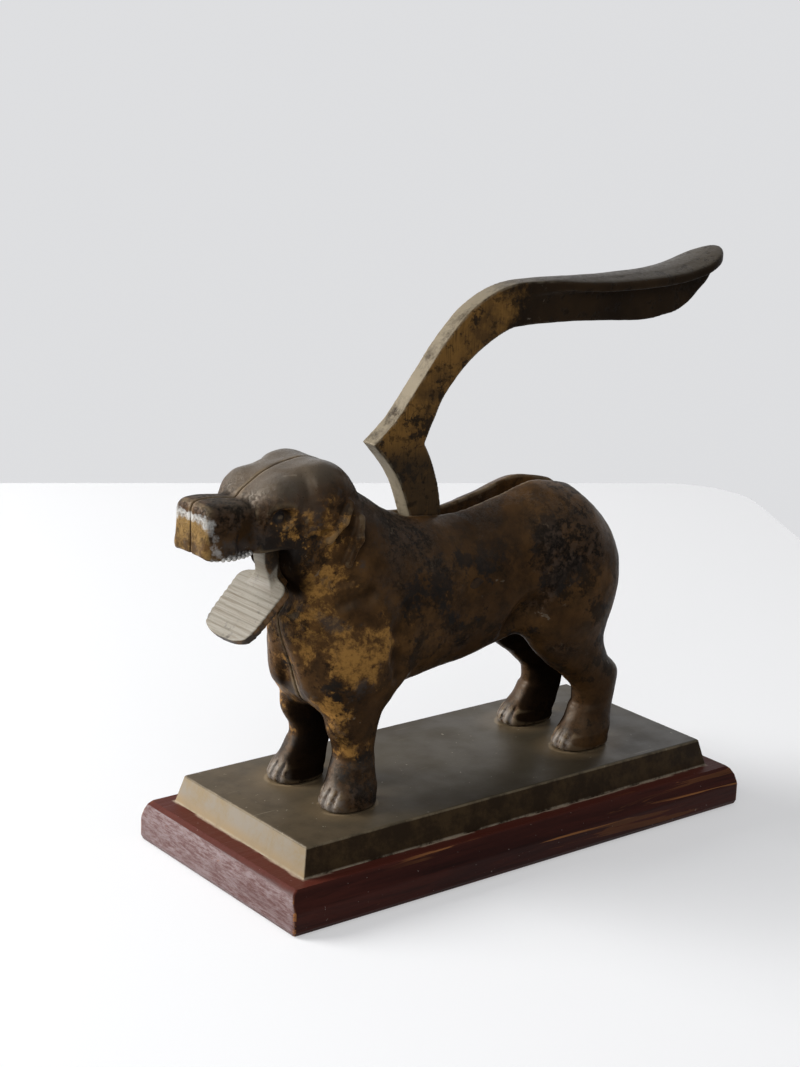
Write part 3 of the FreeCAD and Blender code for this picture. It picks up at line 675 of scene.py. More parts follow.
def relief_values(obj, clay, mirrored=False):
    """Stores how much each vertex stands proud, at a fine and at a broad scale."""
    points = triples(obj.data.vertices, "co") / MM
    if mirrored:
        points[:, 1] *= -1
    for name, radius, gain in (("ridge", 1.1, 1.2), ("swell", 3.5, 0.35)):
        values = np.clip(0.5 + clay.sample(clay.blurred(radius), points) * gain, 0, 1)
        obj.data.attributes.new(name, "FLOAT", "POINT").data.foreach_set("value", values.astype(np.float32))


def roughened(obj, lump, mask):
    """Moves vertices along their normals by soft noise, in metres, times a mask for each vertex."""
    points, normals = triples(obj.data.vertices, "co"), triples(obj.data.vertex_normals, "vector")
    wave = np.empty(len(points))
    for i, p in enumerate(points):
        at = Vector((p[0], abs(p[1]), p[2]))
        wave[i] = noise.noise(at * 110.0) + 0.5 * noise.noise(at * 300.0)
    moved = points + normals * (wave * lump * mask)[:, None]
    obj.data.vertices.foreach_set("co", moved.astype(np.float32).ravel())
    obj.data.update()


# ---- finishes ----
class Value:
    """Output of a node. Signs between outputs stand for math nodes."""

    def __init__(self, work, socket):
        self.work, self.socket = work, socket

    def __add__(self, other):
        return self.work.calc("ADD", self, other)

    def __sub__(self, other):
        return self.work.calc("SUBTRACT", self, other)

    def __rsub__(self, other):
        return self.work.calc("SUBTRACT", other, self)

    def __mul__(self, other):
        return self.work.calc("MULTIPLY", self, other)

    def __or__(self, other):
        return self.work.calc("MAXIMUM", self, other)

    def __abs__(self):
        return self.work.calc("ABSOLUTE", self)

    def fade(self, low, high, start=0.0, end=1.0):
        return self.work.node("ShaderNodeMapRange", {0: self, 1: low, 2: high, 3: start, 4: end},
                              interpolation_type="SMOOTHSTEP")


class NodeWork:
    """Node tree being made, with short calls for its nodes."""

    def set(self, socket, value):
        value = getattr(value, "socket", value)
        if isinstance(value, bpy.types.NodeSocket):
            self.tree.links.new(value, socket)
        elif socket.type == "RGBA":
            socket.default_value = (*value[:3], 1.0)
        else:
            socket.default_value = value

    def node(self, kind, values=(), out=0, **settings):
        """Adds a node and gives its output; inputs go by number, or by the name of an enabled one."""
        made = self.tree.nodes.new(kind)
        for key, value in settings.items():
            setattr(made, key, value)
        for key, value in dict(values).items():
            named = (socket for socket in made.inputs if socket.name == key and socket.enabled)
            self.set(made.inputs[key] if isinstance(key, int) else next(named), value)
        return Value(self, made.outputs[out])

    def calc(self, kind, a, b=0.0, clamp=False):
        return self.node("ShaderNodeMath", {0: a, 1: b}, operation=kind, use_clamp=clamp)

    def vector(self, kind, a, b=(0.0, 0.0, 0.0), out=0):
        second = "Scale" if kind == "SCALE" else 1
        return self.node("ShaderNodeVectorMath", {0: a, second: b}, out, operation=kind)

    def split(self, vector):
        """The x, y and z of a vector."""
        parts = self.node("ShaderNodeSeparateXYZ", {0: vector}).socket.node.outputs
        return [Value(self, socket) for socket in parts]


class Growth(NodeWork):
    """Geometry node tree with named inputs that grows one mesh."""

    def __init__(self, name, **inputs):
        self.tree = bpy.data.node_groups.new(name, "GeometryNodeTree")
        socket = self.tree.interface.new_socket
        socket("Geometry", in_out="OUTPUT", socket_type="NodeSocketGeometry")
        self.keys = {}
        for key, kind in inputs.items():
            label = key.replace("_", " ")
            self.keys[label] = socket(label, in_out="INPUT", socket_type="NodeSocket" + kind).identifier
        self.given = self.tree.nodes.new("NodeGroupInput").outputs

    def grown(self, name, geometry, values):
        """Plain mesh object made by the tree with the values given."""
        real = self.node("GeometryNodeRealizeInstances", {"Geometry": geometry})
        done = self.node("GeometryNodeSetMaterial", {"Geometry": real, "Material": self.given["Material"]})
        self.set(self.tree.nodes.new("NodeGroupOutput").inputs[0], done)
        obj = placed(name, bpy.data.meshes.new(name))
        grow = obj.modifiers.new("grow", "NODES")
        grow.node_group = self.tree
        for label, value in values.items():
            grow[self.keys[label]] = value
        finished(obj)
        obj.data.shade_smooth()
        obj.data.set_sharp_from_angle(angle=math.radians(30))
        return obj


class Finish(NodeWork):
    """Material made of coats, each laid over the ones before by a mask."""

    def __init__(self, name, **values):
        self.material = bpy.data.materials.new(name)
        self.material.use_nodes = True
        self.tree = self.material.node_tree
        self.place = self.node("ShaderNodeTexCoord", out="Object")
        self.give(**values)

    def give(self, **values):
        for key, value in values.items():
            self.set(self.tree.nodes["Principled BSDF"].inputs[key], value)

    def noise(self, scale, detail=4.0, roughness=0.55, distortion=0.0, at=None, out=0):
        return self.node("ShaderNodeTexNoise", {"Vector": at or self.place, "Scale": scale, "Detail": detail,
                                                "Roughness": roughness, "Distortion": distortion}, out)

    def mapped(self, scale, turn=(0.0, 0.0, 0.0), shift=0.0):
        return self.node("ShaderNodeMapping", {"Vector": self.place, "Scale": scale, "Rotation": turn,
                                               "Location": (shift, shift, 0.0)})

    def either(self, *masks):
        total = masks[0]
        for mask in masks[1:]:
            total = total | mask
        return total

    def tint(self, mask, under, over):
        return self.node("ShaderNodeMix", {0: mask, 6: under, 7: over}, 2, data_type="RGBA")

    def coat(self, mask, tone):
        self.base = self.tint(mask, self.base, tone)

    def kept(self, name):
        """Value that the mesh keeps for each vertex."""
        return self.node("ShaderNodeAttribute", (), "Fac", attribute_name=name)

    def facing(self):
        """The surface normal's x, y and z."""
        return self.split(self.node("ShaderNodeNewGeometry", (), "Normal"))

    def near(self, centre, inner, outer, at=None):
        """1 within the inner distance of a point, 0 past the outer; lengths in millimetres."""
        gap = self.vector("DISTANCE", at or self.place, tuple(c * MM for c in centre), "Value")
        return gap.fade(inner * MM, outer * MM, 1.0, 0.0)

    def along(self, points, inner, outer, ragged):
        """Like near, for a line through points; ragged shifts its edge."""
        gap = None
        for start, end in zip(points, points[1:]):
            a, way = Vector(start) * MM, (Vector(end) - Vector(start)) * MM
            from_a = self.vector("SUBTRACT", self.place, tuple(a))
            share = self.vector("DOT_PRODUCT", from_a, tuple(way / way.length_squared), "Value")
            foot = self.vector("SCALE", tuple(way), self.calc("ADD", share, 0.0, clamp=True))
            part = self.vector("DISTANCE", from_a, foot, "Value")
            gap = part if gap is None else self.calc("MINIMUM", gap, part)
        return (gap + ragged).fade(inner * MM, outer * MM, 1.0, 0.0)

    def made(self, *bumps, **values):
        """The material, with bumps, each (height, strength, distance in metres), laid one on the other."""
        under = {}
        for height, strength, distance in bumps:
            under = {"Normal": self.node("ShaderNodeBump", {"Height": height, "Strength": strength,
                                                            "Distance": distance, **under})}
        self.give(**{"Base Color": self.base}, **under, **values)
        return self.material


GLOSS = "Specular IOR Level"
WARM_SHINE = (1.0, 0.86, 0.68)


def dog_finish(c):
    f = Finish("cast bronze patina", **{"Specular Tint": WARM_SHINE})
    x, y, z = f.split(f.place)
    f.place = f.node("ShaderNodeCombineXYZ", {0: x, 1: abs(y), 2: z})
    ahead, aside, up = f.facing()
    inward = aside * f.calc("SIGN", y)
    cloud, blot, patch = f.noise(30, 9, 0.74, 0.12), f.noise(62, 9, 0.78, 0.08), f.noise(80, 8, 0.74, 0.15)
    speck, grit, flakes = f.noise(420, 5, 0.75), f.noise(900, 3, 0.6), f.noise(330, 5, 0.75)
    pits = f.noise(330, 8, 0.82, 0.1)

    # brown ground, and a greyish brown painted reflection of the pale room on the upward faces of the crown
    # and the bridge of the nose
    f.base = f.tint(f.noise(20, 4, 0.6, 0.1).fade(0.36, 0.66), c.brown, c.rust)
    f.coat(f.noise(170, 6, 0.7, 0.1).fade(0.38, 0.66, 0.0, 0.6), c.dark)
    crown, snout = f.near((-84, 6, 152), 12, 24), f.near((-104, 4, 143), 6, 14)
    # painted reflection: greyish brown on the upward faces of the crown and snout
    f.coat((crown | snout) * up.fade(0.1, 0.7, 0.0, 0.85), c.grey)

    # ochre places round the cheek, neck, chest and shoulder, with ragged edges
    waver = f.vector("SUBTRACT", f.noise(70, 6, 0.7, out="Color"), (0.5, 0.5, 0.5))
    loose = f.vector("ADD", f.place, f.vector("SCALE", waver, 0.045))
    places = f.either(*(f.near(spot[:3], *spot[3:], at=loose) for spot in (
        (-77, 17, 111, 2, 13), (-78, 9, 97, 2, 13), (-66, 21, 84, 3, 17), (-74, 8, 84, 3, 14),
        (-67, 22, 56, 2, 13), (-89, 15, 134, 1, 9), (-74, 19, 133, 3, 12), (-65, 21, 128, 2, 9),
        (-57, 24, 86, 3, 15), (-70, 14, 62, 1, 11))))
    lean = patch + places * 0.14
    f.coat(lean.fade(0.46, 0.62) * places.fade(0.02, 0.5) * 0.8, c.rust)
    gold = lean.fade(0.55, 0.66) * places.fade(0.1, 0.6) * speck.fade(0.66, 0.44, 0.1, 1.0)
    f.coat(gold, c.ochre)

    # dark stains and pitted areas, less on the crown and the back
    calm = crown | f.near((4, 8, 134), 16, 34) * 0.7
    free = 1.0 - calm * 0.9
    black = (blot - gold * 0.05).fade(0.53, 0.57) * free
    f.coat(black * 0.8, c.dark)
    slate = f.noise(48, 7, 0.7, 0.1).fade(0.54, 0.62) * x.fade(-0.045, -0.060) * free
    f.coat(slate * 0.6, (0.052, 0.048, 0.046))
    soot = (cloud - gold * 0.05).fade(0.53, 0.58) * free
    f.coat(soot * 0.85, (0.0130, 0.0115, 0.0110))
    rough_areas = f.noise(26, 3, 0.5).fade(0.49, 0.58) * free
    f.coat(rough_areas * pits.fade(0.50, 0.40, 0.2, 0.8), (0.072, 0.048, 0.034))
    pitted = pits.fade(0.49, 0.55) * rough_areas
    f.coat(pitted * 0.92, (0.008, 0.0055, 0.004))
    f.coat(speck.fade(0.57, 0.66) * patch.fade(0.48, 0.58) * rough_areas * 0.6, (0.20, 0.15, 0.10))
    nicks = f.noise(150, 3, 0.7, 1.2).fade(0.66, 0.70) * f.noise(34, 2, 0.5).fade(0.52, 0.60)
    f.coat(nicks * 0.5, (0.21, 0.17, 0.125))

    # shade in hollows, on the legs' inner sides, in the throat and in the eye
    hollow = f.kept("swell").fade(0.30, 0.47, 1.0, 0.0)
    throat = f.near((-84, 5, 115), 9, 14)
    dim = f.either(hollow * 0.6, inward.fade(-0.1, -0.5) * z.fade(0.082, 0.070), throat)
    f.coat(dim * 0.88, (0.007, 0.0045, 0.003))
    pupil = f.near((-92.6, 14.0, 137.4), 2.0, 3.4)
    f.coat(pupil * 0.9, (0.014, 0.013, 0.014))

    # rubbed edges, nose, toes and lips; the lighter toes are partly rubbed metal and partly a painted
    # highlight
    rubbed = f.kept("ridge").fade(0.60, 0.74) * patch.fade(0.40, 0.55) * (1.0 - f.near((-84, 14, 118), 9, 15))
    f.coat(rubbed * 0.55, (0.20, 0.145, 0.085))
    nose = ahead.fade(-0.55, -0.85) * x.fade(-0.110, -0.113) * z.fade(0.139, 0.136)
    f.coat(nose * patch.fade(0.40, 0.54, 0.1, 0.95), (0.24, 0.145, 0.050))
    # toes: partly rubbed metal, partly a painted highlight
    toes = f.near((-72, 17, 29), 3, 10) | f.near((40, 17, 29), 2, 8)
    f.coat(toes * flakes.fade(0.35, 0.6), (0.17, 0.148, 0.128))
    ragged = (f.noise(190, 4, 0.7) - 0.5) * 0.012
    bridge = f.along([(-117.8, 0.0, 139.0), (-117.4, 6.0, 138.6), (-116.4, 10.2, 136.6)], 0.3, 2.4, ragged)
    flew = f.along([(-116.6, 10.8, 136.0), (-116.4, 11.6, 130.5), (-114.6, 12.2, 126.0)], 0.0, 1.8, ragged)
    lip = f.along([(-115.6, 11.0, 124.6), (-110.0, 12.8, 124.0), (-103.0, 12.3, 125.0)], 0.4, 2.4, ragged)
    silver = f.either(bridge, flew * 0.6, lip * 0.8)
    f.coat(silver * flakes.fade(0.36, 0.56, 0.3, 1.0), c.worn)

    rough = grit.fade(0.3, 0.7, 0.36, 0.50) + rough_areas * 0.12 + (soot | black) * 0.08 - calm * 0.10
    gloss = f.either(up.fade(-0.1, 0.5) * 0.42, toes * 0.6, crown * up.fade(-0.4, 0.2))
    gloss = (gloss | pupil * 0.3).fade(0.0, 1.0, 0.06, 0.46) * (1.0 - dim)
    return f.made((cloud, 0.3, 0.0012), (pitted * -1.0, 0.6, 0.0007), (speck, 0.25, 0.0004),
                  (grit, 0.25, 0.0002), **{"Roughness": rough, GLOSS: gloss})


def lever_finish(c):
    f = Finish("rubbed bronze lever", **{"Specular Tint": WARM_SHINE})
    x, _, z = f.split(f.place)
    _, aside, up = f.facing()
    cloud, blot = f.noise(40, 9, 0.74, 0.15), f.noise(75, 9, 0.76, 0.1)
    lines = f.noise(1.0, 3, 0.6, 0, f.mapped((1400, 1, 90), (0.0, 0.75, 0.0)))
    side = abs(aside).fade(0.55, 0.8)
    along = x + (blot - 0.5) * 0.06

    # dark tail, and golden sides of the arm with lines and stains, darker towards the bottom
    f.base = f.tint(f.noise(26, 5, 0.6).fade(0.4, 0.65), c.dark, (0.034, 0.020, 0.010))
    gold = side * along.fade(0.006, 0.022, 1.0, 0.0)
    f.coat(gold, f.tint(cloud.fade(0.40, 0.56), (0.10, 0.054, 0.020), c.gold))
    f.coat(gold * lines.fade(0.5, 0.68, 0, 0.55), (0.045, 0.025, 0.011))
    f.coat(gold * blot.fade(0.52, 0.57, 0, 0.9), (0.022, 0.015, 0.010))
    # darker towards the bottom of the arm
    f.coat(gold * z.fade(0.158, 0.146) * cloud.fade(0.36, 0.50, 0, 0.8), (0.025, 0.019, 0.014))

    # rubbed top edge, lighter upward faces of the leaf, rim, scars and pits
    edge = (1.0 - side) * x.fade(0.005, 0.045, 1.0, 0.0) * cloud.fade(0.66, 0.5)
    f.coat(edge * 0.95, c.worn)
    f.coat(up.fade(0.6, 0.86) * x.fade(0.01, 0.05), (0.064, 0.053, 0.040))
    rim = f.kept("ridge").fade(0.62, 0.74) * f.noise(160, 5, 0.7).fade(0.38, 0.6)
    f.coat(rim * x.fade(0.02, 0.05, 0.5, 0.06), c.worn)
    scar = f.noise(240, 6, 0.8, 0.4).fade(0.60, 0.68) * abs(along - 0.024).fade(0.012, 0.004)
    f.coat(scar * 0.7, (0.24, 0.20, 0.15))
    pitted = f.noise(220, 5, 0.72, 0.1).fade(0.54, 0.62) * (1.0 - edge * 0.7)
    f.coat(pitted * 0.6, (0.012, 0.008, 0.005))
    rough = f.noise(800, 3, 0.6).fade(0.3, 0.7, 0.34, 0.48)
    return f.made((cloud, 0.15, 0.0008), (pitted * -1.0, 0.35, 0.0004), (lines, 0.2, 0.0003),
                  (f.noise(420, 5, 0.75), 0.15, 0.0003),
                  **{"Roughness": rough, GLOSS: up.fade(0.0, 0.7, 0.05, 0.18)})


def jaw_finish(c):
    f = Finish("worn jaw plate", **{GLOSS: 0.3})
    lines = f.noise(1.0, 4, 0.65, 0, f.mapped((2100, 60, 2100), (0.0, math.radians(JAW_ANGLE), 0.0)))
    cloud = f.noise(90, 6, 0.7)
    ahead, _, up = f.facing()
    worn = (up - ahead).fade(0.5, 0.85) * cloud.fade(0.28, 0.42)
    f.base = f.tint(worn, f.tint(cloud.fade(0.45, 0.6), (0.030, 0.019, 0.010), (0.15, 0.075, 0.025)), c.plate)
    f.coat(worn * lines.fade(0.46, 0.68, 0, 0.6), (0.135, 0.095, 0.055))
    f.coat(worn * f.noise(380, 5, 0.8).fade(0.60, 0.68, 0, 0.6), (0.05, 0.035, 0.02))
    return f.made((lines, 0.3, 0.0003), (cloud, 0.2, 0.0006), Roughness=lines.fade(0.3, 0.7, 0.42, 0.55))


def plate_finish(c):
    f = Finish("satin bronze plinth", **{"Specular Tint": (1.0, 0.88, 0.7)})
    low, high = (v[2] * MM for v in node_box("plinth"))
    cloud, mottle = f.noise(22, 6, 0.65, 0.3), f.noise(90, 6, 0.72)
    x, _, height = f.split(f.place)
    ahead, _, up = f.facing()
    slope = height.fade(high - 0.0009, high - 0.0003, 1.0, 0.0)
    flat = 1.0 - slope

    # olive top, tarnished towards the front; painted shade darkens the slopes, and painted light makes the
    # front slope, which faces the window lamp, tan
    f.base = f.tint(cloud.fade(0.35, 0.7), c.olive, (0.040, 0.030, 0.018))
    f.coat(x.fade(0.0, -0.09, 0.0, 0.8) * mottle.fade(0.3, 0.6, 0.4, 1.0), (0.105, 0.078, 0.048))
    # painted shade on the slopes
    f.coat(slope, f.tint(mottle.fade(0.4, 0.65), (0.022, 0.0125, 0.006), (0.050, 0.030, 0.013)))
    # painted light: tan on the front slope that faces the window lamp
    tan = f.tint(mottle.fade(0.36, 0.62), c.tan, (0.25, 0.215, 0.17))
    foot = height.fade(low + 0.0055, low + 0.001, 0.0, 0.8) * mottle.fade(0.36, 0.62, 0.1, 0.9)
    f.coat(slope * ahead.fade(-0.5, -0.8), f.tint(foot, tan, (0.30, 0.205, 0.10)))

    # halo and bright ring round each paw
    ground = f.vector("MULTIPLY", f.place, (1.0, 1.0, 0.0))
    halo, ring = [], []
    for paw_x, paw_length in ((FRONT_FOOT, FRONT_PAW), (REAR_FOOT, REAR_PAW)):
        for paw_y in (-FOOT_S, FOOT_S):
            gap = f.vector("SUBTRACT", ground, (paw_x * MM, paw_y * MM, 0.0))
            gap = f.vector("MULTIPLY", gap, (2 * PAW_HALF / paw_length, 1.0, 0.0))
            away = f.vector("LENGTH", gap, out="Value")
            halo.append(away.fade(0.0085, 0.0175, 1.0, 0.0))
            ring.append(abs(away - (PAW_HALF + 0.5) * MM).fade(0.0009, 0.0002))
    f.coat(f.either(*halo) * flat * cloud.fade(0.25, 0.55) * 0.5, (0.17, 0.118, 0.062))
    f.coat(f.either(*ring) * flat * mottle.fade(0.42, 0.56, 0.0, 0.6), (0.26, 0.19, 0.11))

    # scratches, dots, a bright rim that is partly worn edge and partly a painted highlight, and the dust at
    # its foot
    scratch = []
    for turn, shift in ((0.5, 0.0), (-0.9, 3.1), (1.4, 7.7), (0.1, 5.2)):
        fine = f.noise(1.0, 1, 0.5, 0.15, f.mapped((22, 1100, 1), (0, 0, turn), shift))
        scratch.append(fine.fade(0.74, 0.77) * f.noise(26, 2, 0.5).fade(0.54, 0.60))
    f.coat(f.either(*scratch) * flat * 0.55, (0.26, 0.22, 0.16))
    f.coat(f.noise(520, 2, 0.5).fade(0.73, 0.76) * flat * 0.6, (0.40, 0.36, 0.28))
    # bright rim along the top edge: partly worn edge, partly a painted highlight
    rim = abs(height - (high - 0.0005)).fade(0.0005, 0.0002)
    f.coat(rim * mottle.fade(0.35, 0.6, 0.1, 0.6), (0.24, 0.19, 0.12))
    f.coat(height.fade(low + 0.0010, low + 0.0002) * mottle.fade(0.38, 0.58, 0.0, 0.8), (0.36, 0.30, 0.22))
    rough = f.noise(60, 5).fade(0.3, 0.7, 0.36, 0.5)
    return f.made((cloud, 0.12, 0.001), (mottle, 0.12, 0.0005), (f.noise(800, 3, 0.6), 0.15, 0.00015),
                  **{"Roughness": rough, GLOSS: up.fade(0.4, 0.9, 0.10, 0.28)})


def wood_finish(c):
    f = Finish("stained wood", **{GLOSS: 0.09})
    high, plate = (node_box(node)[1] * MM for node in ("wood_base", "plinth"))
    grain = f.noise(110, 7, 0.68, 0.5, f.mapped((0.10, 1.0, 1.3)))
    fibre = f.noise(700, 3, 0.6, 0.2, f.mapped((0.05, 1.0, 1.0)))
    scuff = f.noise(330, 6, 0.72, 0.3, f.mapped((0.35, 0.6, 1.0)))
    ahead, aside, up = f.facing()
    x, y, height = f.split(f.place)
    from_end, from_side = abs(x), abs(y)

    # burgundy stain, a greyish painted sheen of the window lamp on the ends, and a redder top
    f.base = f.tint(grain.fade(0.35, 0.66), c.stain, (0.060, 0.015, 0.010))
    f.coat(fibre.fade(0.5, 0.7) * 0.5, (0.012, 0.005, 0.004))
    # painted reflection: the end faces, turned to the window lamp, get a greyish lilac sheen, mixed with a
    # little stain
    end = abs(ahead).fade(0.55, 0.85) * up.fade(0.75, 0.5)
    weave = f.noise(950, 6, 0.8, 0.2, f.mapped((1.0, 0.16, 1.0)))
    grey = f.tint(weave.fade(0.38, 0.62), (0.125, 0.062, 0.056), (0.250, 0.190, 0.188))
    stain = f.noise(60, 5, 0.7, 0.1, f.mapped((1.0, 0.4, 1.0))).fade(0.45, 0.65, 0.0, 0.45)
    f.coat(end * 0.92, f.tint(stain, grey, (0.10, 0.045, 0.040)))
    f.coat(up.fade(0.45, 0.95, 0.0, 0.8), (0.105, 0.025, 0.016))

    # bare wood in streaks along the side's edges, and at the corners
    at_side = from_side.fade(high[1] - 0.006, high[1] - 0.003) * (1.0 - end)
    band = (abs(height - (high[2] - WOOD_BREAST * MM)).fade(0.0016, 0.0003)
            | height.fade(high[2] - 0.0014, high[2] - 0.0003))
    streak = f.noise(240, 4, 0.6, 0.9, f.mapped((0.045, 1.0, 1.0))) + x.fade(-0.02, 0.06) * 0.05
    streak = streak.fade(0.60, 0.64) * at_side * band.fade(0.0, 0.6, 0.25, 1.0)
    streak = streak * f.noise(16, 2, 0.5).fade(0.38, 0.52)
    corner = abs(ahead * aside).fade(0.22, 0.42) * scuff.fade(0.40, 0.52)
    f.coat((streak | corner) * 0.85, c.bare)

    # nicks, dots and dried glue along the plinth
    f.coat(scuff.fade(0.68, 0.71) * grain.fade(0.4, 0.6) * 0.7, (0.30, 0.11, 0.05))
    f.coat(f.noise(900, 2, 0.5).fade(0.74, 0.78) * 0.5, (0.45, 0.38, 0.34))
    past = ((from_end - plate[0]) | (from_side - plate[1])) + (f.noise(70, 4, 0.7) - 0.5) * 0.003
    glue = past.fade(0.0012, 0.0003) * up.fade(0.8, 0.95) * f.noise(40, 3, 0.6).fade(0.45, 0.55)
    f.coat(glue * 0.8, (0.42, 0.33, 0.24))
    return f.made((grain, 0.3, 0.0006), (fibre, 0.35, 0.0003), (scuff, 0.25, 0.0004),
                  Roughness=grain.fade(0.3, 0.7, 0.36, 0.5))


def steel_finish(name, tone, roughness):
    f = Finish(name, Metallic=1.0, Roughness=roughness)
    f.base = f.tint(f.noise(400, 3).fade(0.35, 0.7), tone, tuple(0.6 * v for v in tone))
    return f.made()


def rivet_finish():
    f = Finish("rivet bronze", **{"Roughness": 0.42, GLOSS: 0.1})
    f.base = f.tint(f.noise(300, 5, 0.7).fade(0.35, 0.6), (0.016, 0.009, 0.005), (0.048, 0.026, 0.012))
    return f.made()


def coated(obj, material):
    obj.data.materials.clear()
    obj.data.materials.append(material)


def dress(obj, material, body="stand", replaces=()):
    coated(obj, material)
    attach(obj, body)
    if replaces:
        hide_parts(*replaces)


# ---- operators ----
class NUTCRACKER_OT_dog_halves(bpy.types.Operator):
    """Sculpts the dog and makes its two mirrored cast halves"""

    bl_idname = "nutcracker.dog_halves"
    bl_label = "Dog halves"

    def execute(self, context):
        sizes = context.scene.nutcracker_dog
        step = sizes.step / MM * 1.0
        clay = dog_clay(step)
        close_half(clay, sizes.seam_edge / MM)
        points, quads = clay.skin()
        material = dog_finish(sizes)
        for name, mirrored in (("left_casting", True), ("right_casting", False)):
            half = thinned(to_mesh(name, points, quads, flip_y=mirrored), 188000)
            relief_values(half, clay, mirrored)
            away = np.abs(triples(half.data.vertices, "co")[:, 1])
            roughened(half, sizes.lumps, np.clip((away - 0.0004) / 0.0015, 0, 1))
            dress(half, material, "stand", ("left_half" if mirrored else "right_half",))
        return {"FINISHED"}


def lever_outline():
    top, under = tail_points(TAIL_TOP), tail_points(TAIL_UNDER)
    corner, notch = polar(GUARD_INNER, GUARD_TOP), polar(GUARD_OUTER, NOTCH)
    foot = polar(GUARD_FOOT, ARM_TOP)
    front = through([foot, polar(GUARD_INNER + 0.3, (ARM_TOP + GUARD_TOP) / 2), corner])
    keel = [from_hinge(*p) for p in TAIL_KEEL]
    return (front + through([corner] + top[:-1])[1:] + through(keel + under[2:] + [notch])
            + arc(GUARD_OUTER, NOTCH, GUARD_LOW) + hub_arc(polar(GUARD_OUTER, GUARD_LOW), foot, HUB))


def leaf_top(x, y):
    """Half width of the leaf and height of its crowned top."""
    top = np.array(through([polar(GUARD_INNER, GUARD_TOP)] + tail_points(TAIL_TOP)))
    order = np.argsort(top[:, 0])
    crown = np.interp(x, top[order, 0], top[order, 1])
    share = np.clip((x - LEAF_START) / (top[-1][0] + 1.6 - LEAF_START), 0, 1)
    last = np.clip((share - 0.88) / 0.12, 0, 1)
    width = smooth_run(share, *zip((0, 0.34), (0.15, 0.345), (0.28, 0.46), (0.45, 0.76), (0.7, 0.97),
                                   (0.86, 1.02), (1.0, 1.0)))
    half = LEAF_HALF * width * np.sqrt(np.maximum(1 - last ** 2.3, 0.0)) + 0.05
    drop = LEAF_CROWN * np.clip((width - 0.38) / 0.46, 0, 1) * (1 - 0.45 * last)
    off = np.clip(np.abs(y) / np.maximum(half, 0.5 * LEAF_HALF * width), 0, 1.3)
    return half, crown - drop * off ** 2


def leaf_form(x, y, z):
    """Broad crowned leaf on top of the tail, round at its tip."""
    half, height = leaf_top(x, y)
    thick = soft_max(z - height, height - LEAF_LIP - z, 1.2)
    return soft_max(soft_max(thick, np.abs(y) - half, 1.6), np.maximum(LEAF_START - x, x - TAIL_TIP), 1.6)


def tail_clay(step):
    clay = Clay((-90, -13, 88), (136, 13, 221), step)
    clay.join(slab(lever_outline(), LEVER_HALF, 0.6), *EVERYWHERE, 1.0)
    clay.join(leaf_form, (-6, -14, 180), (140, 14, 225), 2.6)

    def beside_leaf(x, y, z):
        return np.maximum(LEVER_HALF, leaf_top(x, y)[0]) + 0.1 - np.abs(y)

    clay.carve(lambda x, y, z: leaf_top(x, y)[1] - z, (-14, -14, 180), (140, 14, 225), 0.8)
    clay.carve(beside_leaf, (-30, -14, 150), (60, 14, 225), 0.5)
    return clay


def jaw_clay(step, pitch, depth):
    clay = Clay((-107, -16, 88), (-61, 16, 132), step)
    turn = math.radians(JAW_ANGLE)
    plate = [(JAW_INNER - 4.0, LEVER_HALF), (JAW_INNER - 1.6, LEVER_HALF + 2.4),
             (JAW_INNER - 0.2, JAW_HALF - 3.2), (JAW_INNER + 2.4, JAW_HALF - 0.3), (JAW_INNER + 8, JAW_HALF),
             (JAW_OUTER - 6.0, JAW_HALF - 0.7), (JAW_OUTER - 1.2, JAW_HALF - 4.3), (JAW_OUTER, 0.0)]
    edge = np.array(through(plate + [(a, -y) for a, y in plate[-2::-1]]))
    edge = edge[edge[:, 1] >= 0]
    table = np.linspace(0, 50, 200)
    reach = np.interp(table, *edge[np.argsort(edge[:, 0])].T)
    web = [tuple(HINGE[[0, 2]])] + arc(JAW_GUARD, JAW_GUARD_TOP, JAW_GUARD_LOW)

    def toothed_plate(x, y, z):
        dx, dz = x - HINGE[0], z - HINGE[2]
        a, b = -dx * math.cos(turn) - dz * math.sin(turn), -dx * math.sin(turn) + dz * math.cos(turn)
        saw = (a / pitch) % 1.0
        saw = np.where(saw < 0.75, saw / 0.75, (1 - saw) / 0.25) * np.clip((a - JAW_INNER - 3.0) / 3.0, 0, 1)
        side = np.abs(y) - np.interp(a, table, reach) + 3.4 * depth * saw
        ends = np.maximum(a - JAW_OUTER + 0.012 * y * y, JAW_INNER - 4 - a)
        above = b - (JAW_RISE - depth * saw)
        below = JAW_RISE - JAW_THICK + 0.35 - b
        return soft_max(soft_max(soft_max(side, ends, 2.0), above, 0.5), below, 1.6)

    clay.join(slab(web, LEVER_HALF, 0.8), *EVERYWHERE, 1.0)
    clay.join(toothed_plate, *EVERYWHERE, 5.0)
    return clay


class NUTCRACKER_OT_tail_lever(bpy.types.Operator):
    """Sculpts the tail, guard, hub and toothed lower jaw as one casting"""

    bl_idname = "nutcracker.tail_lever"
    bl_label = "Tail lever"

    def execute(self, context):
        sizes = context.scene.nutcracker_lever
        coarse = 1.0
        material = lever_finish(sizes)
        tail = tail_clay(sizes.step / MM * coarse)
        arm = thinned(to_mesh("tail_and_guard", *tail.skin()), 150000)
        relief_values(arm, tail)
        roughened(arm, 0.00012, 1.0)
        dress(arm, material, "lever", ("tail_lever",))
        jaw = jaw_clay(sizes.jaw_step / MM * coarse, sizes.tooth_pitch / MM, sizes.tooth_depth / MM)
        plate = thinned(to_mesh("lower_jaw", *jaw.skin()), 70000)
        relief_values(plate, jaw)
        dress(plate, jaw_finish(sizes), "lever", ("tail_lever",))
        return {"FINISHED"}


